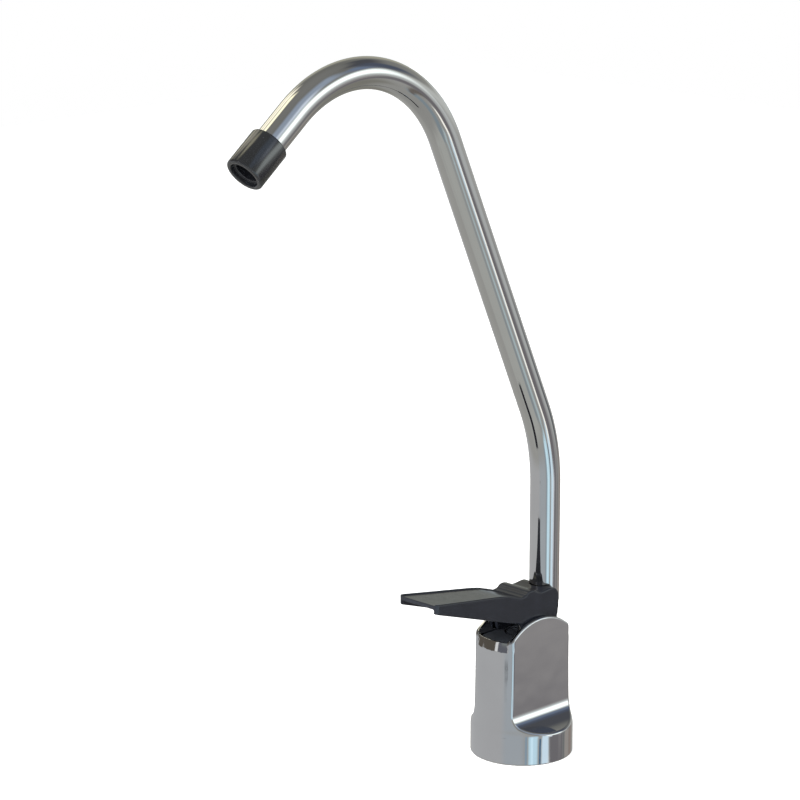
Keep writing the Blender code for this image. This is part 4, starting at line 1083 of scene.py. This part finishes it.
def nut_outside(flats, top, foot):
    """Profile of a nut's outside, down from its chamfered top to its chamfered foot."""
    corner, face = flats / math.sqrt(3), flats / 2 - FACE_INSET
    chamfer = (corner - face) * 0.5
    shares = [i / CHAMFER_STEPS for i in range(CHAMFER_STEPS + 1)]
    upper = [(face + (corner - face) * share, top - chamfer * share) for share in shares]
    lower = [(corner - (corner - face) * share, foot + chamfer * (1 - share)) for share in shares]
    return upper + lower


mounting = MOUNTING_NUT
profile = nut_outside(mounting["flats"], mounting["top"], mounting["foot"])
profile += [(NUT_BORE + COUNTERSINK, mounting["foot"])]
profile += rows_between(NUT_BORE, mounting["foot"] + COUNTERSINK, mounting["top"] - COUNTERSINK)
profile += [(NUT_BORE + COUNTERSINK, mounting["top"])]
mounting_shape = nut_shape(mounting["flats"], mounting["foot"], mounting["top"])
hexagon_nut = turned("hexagon_nut", profile, WIDE_STEPS, reshape=mounting_shape)
fit(hexagon_nut, turned_brass, "mounting_nut", "root")

inlet = INLET_NUT
hole, wall_top = inlet["hole"], inlet["foot"] + inlet["wall"]
thread_foot = wall_top + THREAD_RELIEF
profile = nut_outside(inlet["flats"], inlet["top"], inlet["foot"])
profile += [(hole + COUNTERSINK, inlet["foot"]), (hole, inlet["foot"] + COUNTERSINK), (hole, wall_top)]
profile += [(NUT_BORE, wall_top)] + rows_between(NUT_BORE, thread_foot, inlet["top"] - COUNTERSINK)
profile += [(NUT_BORE + COUNTERSINK, inlet["top"])]
inlet_shape = nut_shape(inlet["flats"], thread_foot - 0.1, inlet["top"])
compression_nut = turned("compression_nut", profile, WIDE_STEPS, reshape=inlet_shape)
fit(compression_nut, turned_brass, "inlet_nut", "root")
fit(turned("tapered_sleeve", SLEEVE_PROFILE, 64), turned_brass, "inlet_sleeve", "root")


# The stage: a white floor at the deck's height, a white background for the camera, and a soft grey
# studio that the metal mirrors, with bright and dark screens round it, each laid over the ones before.
CAMERA_TURN = 45.0
CAMERA_RISE = 14.3
CAMERA_DISTANCE = 1.1
CAMERA_SHIFT_RIGHT = -0.04042
CAMERA_SHIFT_UP = 0.11607
FOCAL_PIXELS = 3300.9
FRAME_PIXELS = 800.0
SENSOR = 36.0
FLOOR_SIZE = 2.2
FLOOR_GLOW = 0.5
LAMP_TARGET = Vector((0.0, 0.0, 0.1))
LAMPS = [
    # name, turn from the camera and rise in degrees, distance and size in metres, watts
    ("key_light", -35.0, 50.0, 1.6, 1.0, 22.0),
    ("fill_light", 60.0, 35.0, 1.8, 1.2, 12.0),
    ("back_light", 170.0, 55.0, 1.8, 1.2, 12.0),
    ("front_light", -30.0, 9.0, 1.3, 0.7, 16.0),
    ("low_light", -52.0, 4.0, 0.9, 0.35, 5.0),
]
ROOM_TONES = [
    # place from straight down to straight up, colour
    (0.0, (0.37, 0.37, 0.355)), (0.2, (0.40, 0.40, 0.385)), (0.44, (0.46, 0.46, 0.45)),
    (0.52, (0.46, 0.46, 0.44)), (0.60, (0.36, 0.36, 0.335)), (0.71, (0.27, 0.275, 0.265)),
    (0.88, (0.20, 0.20, 0.185)), (1.0, (0.25, 0.25, 0.24)),
]
SCREENS = [
    # turn from the camera, rise, half width, half height and softness in degrees, colour
    # below the level, to the left and in front
    (-115.0, -35.0, 70.0, 20.0, 12.0, (0.44, 0.44, 0.42)),
    (-25.0, -50.0, 42.0, 12.0, 10.0, (0.50, 0.51, 0.485)),
    (-100.0, -13.0, 62.0, 14.0, 5.0, (0.525, 0.53, 0.54)),
    (-20.0, -14.0, 24.0, 16.0, 9.0, (0.475, 0.515, 0.55)),
    (-41.0, -17.9, 3.4, 0.3, 0.6, (0.19, 0.20, 0.21)),
    (-50.0, -44.0, 7.0, 5.0, 5.0, (0.30, 0.30, 0.29)),
    # below the level, to the right
    (48.0, -50.0, 36.0, 7.0, 4.0, (0.29, 0.35, 0.39)),
    (140.0, -36.0, 45.0, 13.0, 8.0, (0.27, 0.265, 0.235)),
    (79.0, -38.0, 3.0, 16.0, 2.0, (0.19, 0.17, 0.155)),
    (8.5, -19.0, 1.8, 14.0, 2.4, (0.30, 0.44, 0.56)),
    (24.5, -20.0, 10.5, 14.0, 3.5, (0.72, 1.00, 1.15)),
    (22.0, -20.0, 1.5, 12.0, 3.0, (0.95, 1.26, 1.42)),
    (35.0, -39.0, 9.0, 3.0, 3.0, (0.54, 0.66, 0.70)),
    (53.5, -14.0, 8.5, 14.0, 3.0, (0.86, 1.07, 1.22)),
    (64.0, -27.0, 6.0, 5.0, 1.8, (1.50, 1.46, 1.35)),
    (41.0, -22.5, 2.0, 3.9, 0.9, (0.09, 0.19, 0.30)),
    (85.0, -19.0, 20.0, 8.0, 3.0, (0.215, 0.205, 0.218)),
    (94.0, -17.0, 4.2, 2.6, 1.8, (0.36, 0.345, 0.345)),
    (66.0, -13.5, 5.0, 3.8, 1.2, (0.85, 0.90, 0.98)),
    (109.0, -18.0, 3.5, 8.0, 4.0, (0.20, 0.205, 0.21)),
    (121.0, -19.0, 7.0, 7.0, 4.0, (0.40, 0.367, 0.344)),
    (139.0, -19.0, 9.0, 7.0, 5.0, (0.32, 0.27, 0.245)),
    (96.0, -8.0, 18.0, 5.5, 4.0, (0.56, 0.58, 0.58)),
    (127.0, -9.0, 9.0, 3.5, 2.5, (0.13, 0.14, 0.155)),
    # above the level, to the right and behind
    (55.0, 46.0, 30.0, 14.0, 9.0, (0.38, 0.45, 0.56)),
    (58.0, 30.0, 9.0, 7.0, 7.0, (0.85, 0.95, 1.10)),
    (96.0, 33.0, 8.0, 9.0, 6.0, (0.20, 0.26, 0.38)),
    (130.0, 46.0, 25.0, 9.0, 6.0, (0.095, 0.10, 0.115)),
    (112.0, 30.0, 11.0, 14.0, 7.0, (0.10, 0.12, 0.17)),
    (132.0, 5.0, 32.0, 5.0, 4.0, (0.66, 0.68, 0.66)),
    (78.0, 8.5, 20.0, 10.5, 7.0, (1.75, 1.90, 1.88)),
    (176.0, 1.0, 16.0, 7.0, 5.0, (0.40, 0.48, 0.53)),
    (180.0, 18.0, 22.0, 15.0, 8.0, (0.46, 0.45, 0.37)),
    # warm panels behind on the left, from low to high
    (-149.0, 24.0, 6.0, 7.0, 4.0, (1.7, 1.6, 1.25)),
    (-139.0, 42.0, 8.0, 9.0, 5.0, (1.7, 1.6, 1.3)),
    (-119.0, 60.0, 12.0, 8.0, 5.0, (1.9, 1.8, 1.3)),
    # dark panels along the left with a bright gap, for the band round the body's rim
    (-118.0, 15.0, 10.0, 21.0, 0.9, (0.12, 0.105, 0.088)),
    (-96.0, 17.0, 12.9, 19.0, 0.9, (0.12, 0.105, 0.088)),
    (-77.0, 18.0, 7.5, 18.0, 0.9, (0.12, 0.105, 0.088)),
    (-40.0, 19.2, 22.0, 16.9, 0.9, (0.15, 0.155, 0.18)),
    (-65.5, 19.2, 3.5, 16.9, 0.9, (0.90, 0.90, 0.90)),
    (-46.0, 13.0, 8.0, 4.0, 3.0, (0.25, 0.27, 0.26)),
]


def screen_effect():
    """Mask of a soft-edged screen in one direction round the object, with all angles in radians."""
    group, given, result = effect("screen", {
        "Azimuth": 0.0, "Elevation": 0.0, "Turn": 0.0, "Rise": 0.0, "Half width": 0.1, "Half height": 0.1,
        "Softness": 0.05}, "Mask")
    apart = calculated(group, "SUBTRACT", given.outputs["Azimuth"], given.outputs["Turn"])
    sideways = calculated(group, "WRAP", apart, math.pi, -math.pi)
    above = calculated(group, "SUBTRACT", given.outputs["Elevation"], given.outputs["Rise"])
    masks = []
    for offset, label in ((sideways, "Half width"), (above, "Half height")):
        away = calculated(group, "ABSOLUTE", offset)
        far = calculated(group, "ADD", given.outputs[label], given.outputs["Softness"])
        near = calculated(group, "SUBTRACT", given.outputs[label], given.outputs["Softness"])
        edge = add_node(group, "ShaderNodeMapRange", {
            "Value": away, "From Min": far, "From Max": near}, interpolation_type="SMOOTHSTEP")
        masks.append(edge.outputs["Result"])
    group.links.new(calculated(group, "MULTIPLY", *masks), result.inputs["Mask"])
    return group


def studio_world():
    """White to the camera, and to every other ray a soft grey room with its screens."""
    world = bpy.data.worlds.new("studio")
    world.use_nodes = True
    tree = world.node_tree
    tree.nodes.clear()
    coords = add_node(tree, "ShaderNodeTexCoord")
    parts = add_node(tree, "ShaderNodeSeparateXYZ", {"Vector": coords.outputs["Generated"]})
    height = add_node(tree, "ShaderNodeMapRange", {
        "Value": parts.outputs["Z"], "From Min": -1.0, "From Max": 1.0})
    room = add_node(tree, "ShaderNodeValToRGB", {"Fac": height.outputs["Result"]})
    ramp = room.color_ramp
    while len(ramp.elements) < len(ROOM_TONES):
        ramp.elements.new(0.5)
    for stop, (place, colour) in zip(ramp.elements, ROOM_TONES):
        stop.position = place
        stop.color = (*colour, 1.0)
    seen = room.outputs["Color"]
    azimuth = calculated(tree, "ARCTAN2", parts.outputs["Y"], parts.outputs["X"])
    elevation = calculated(tree, "ARCSINE", parts.outputs["Z"])
    group = screen_effect()
    for turn, rise, half_width, half_height, softness, colour in SCREENS:
        screen = use_effect(tree, group)
        tree.links.new(azimuth, screen.inputs["Azimuth"])
        tree.links.new(elevation, screen.inputs["Elevation"])
        angles = {"Turn": turn - CAMERA_TURN, "Rise": rise, "Half width": half_width,
                  "Half height": half_height, "Softness": softness}
        for key, value in angles.items():
            screen.inputs[key].default_value = math.radians(value)
        seen = blended(tree, screen.outputs["Mask"], seen, (*colour, 1.0))
    path = add_node(tree, "ShaderNodeLightPath")
    shown = blended(tree, path.outputs["Is Camera Ray"], seen, (1.0, 1.0, 1.0, 1.0))
    light = add_node(tree, "ShaderNodeBackground", {"Color": shown, "Strength": 1.0})
    out = tree.nodes.new("ShaderNodeOutputWorld")
    tree.links.new(light.outputs["Background"], out.inputs["Surface"])
    bpy.context.scene.world = world


def floor_finish():
    """Matt white, lit up a little for the camera, and see-through from below."""
    finish = bpy.data.materials.new("white_floor")
    finish.use_nodes = True
    tree = finish.node_tree
    tree.nodes.clear()
    cloud = use_effect(tree, wander, Scale=3.0, Low=0.80, High=0.82)
    paint = add_node(tree, "ShaderNodeCombineColor", {
        "Red": cloud.outputs["Value"], "Green": cloud.outputs["Value"], "Blue": cloud.outputs["Value"]})
    matt = add_node(tree, "ShaderNodeBsdfDiffuse", {"Color": paint.outputs["Color"]})
    path = add_node(tree, "ShaderNodeLightPath")
    dim = calculated(tree, "MULTIPLY", path.outputs["Is Camera Ray"], FLOOR_GLOW)
    glow = add_node(tree, "ShaderNodeEmission", {"Color": (1.0, 1.0, 1.0, 1.0), "Strength": dim})
    lit = add_node(tree, "ShaderNodeAddShader", {0: matt.outputs[0], 1: glow.outputs[0]})
    clear = add_node(tree, "ShaderNodeBsdfTransparent")
    side = add_node(tree, "ShaderNodeNewGeometry")
    both = add_node(tree, "ShaderNodeMixShader", {
        0: side.outputs["Backfacing"], 1: lit.outputs[0], 2: clear.outputs[0]})
    out = tree.nodes.new("ShaderNodeOutputMaterial")
    tree.links.new(both.outputs[0], out.inputs["Surface"])
    return finish


def white_floor():
    """A square floor under the base, which the metal doesn't mirror."""
    mesh = bpy.data.meshes.new("floor")
    shape = bmesh.new()
    bmesh.ops.create_grid(shape, x_segments=1, y_segments=1, size=FLOOR_SIZE / 2)
    shape.to_mesh(mesh)
    shape.free()
    mesh.materials.append(floor_finish())
    floor = new_object("floor", mesh)
    floor.visible_glossy = False


def soft_lamp(name, turn, rise, distance, size, power):
    """A square soft box that faces the faucet and doesn't show in the metal."""
    lamp = bpy.data.lights.new(name, "AREA")
    lamp.size = size
    lamp.energy = power
    holder = new_object(name, lamp)
    around, above = math.radians(turn - CAMERA_TURN), math.radians(rise)
    away = Vector((math.cos(above) * math.cos(around), math.cos(above) * math.sin(around), math.sin(above)))
    holder.location = away * distance + LAMP_TARGET
    holder.rotation_euler = away.to_track_quat("Z", "Y").to_euler()
    holder.visible_camera = False
    holder.visible_glossy = False


def photo_camera():
    """Stands where the photograph was taken from, with its framing."""
    turn, rise = math.radians(CAMERA_TURN), math.radians(CAMERA_RISE)
    right = Vector((math.cos(turn), math.sin(turn), 0.0))
    level = Vector((math.sin(turn), -math.cos(turn), 0.0))
    back = math.cos(rise) * level + math.sin(rise) * Vector((0.0, 0.0, 1.0))
    up = back.cross(right)
    lens = bpy.data.cameras.new("photo_camera")
    lens.sensor_width = SENSOR
    lens.lens = SENSOR * FOCAL_PIXELS / FRAME_PIXELS
    lens.clip_end = 20.0
    camera = new_object("photo_camera", lens)
    place = CAMERA_SHIFT_RIGHT * right + CAMERA_SHIFT_UP * up + CAMERA_DISTANCE * back
    basis = Matrix((right, up, back)).transposed().to_4x4()
    camera.matrix_world = Matrix.Translation(place) @ basis
    bpy.context.scene.camera = camera


studio_world()
white_floor()
for lamp_values in LAMPS:
    soft_lamp(*lamp_values)
photo_camera()
bpy.context.scene.view_settings.view_transform = "Standard"
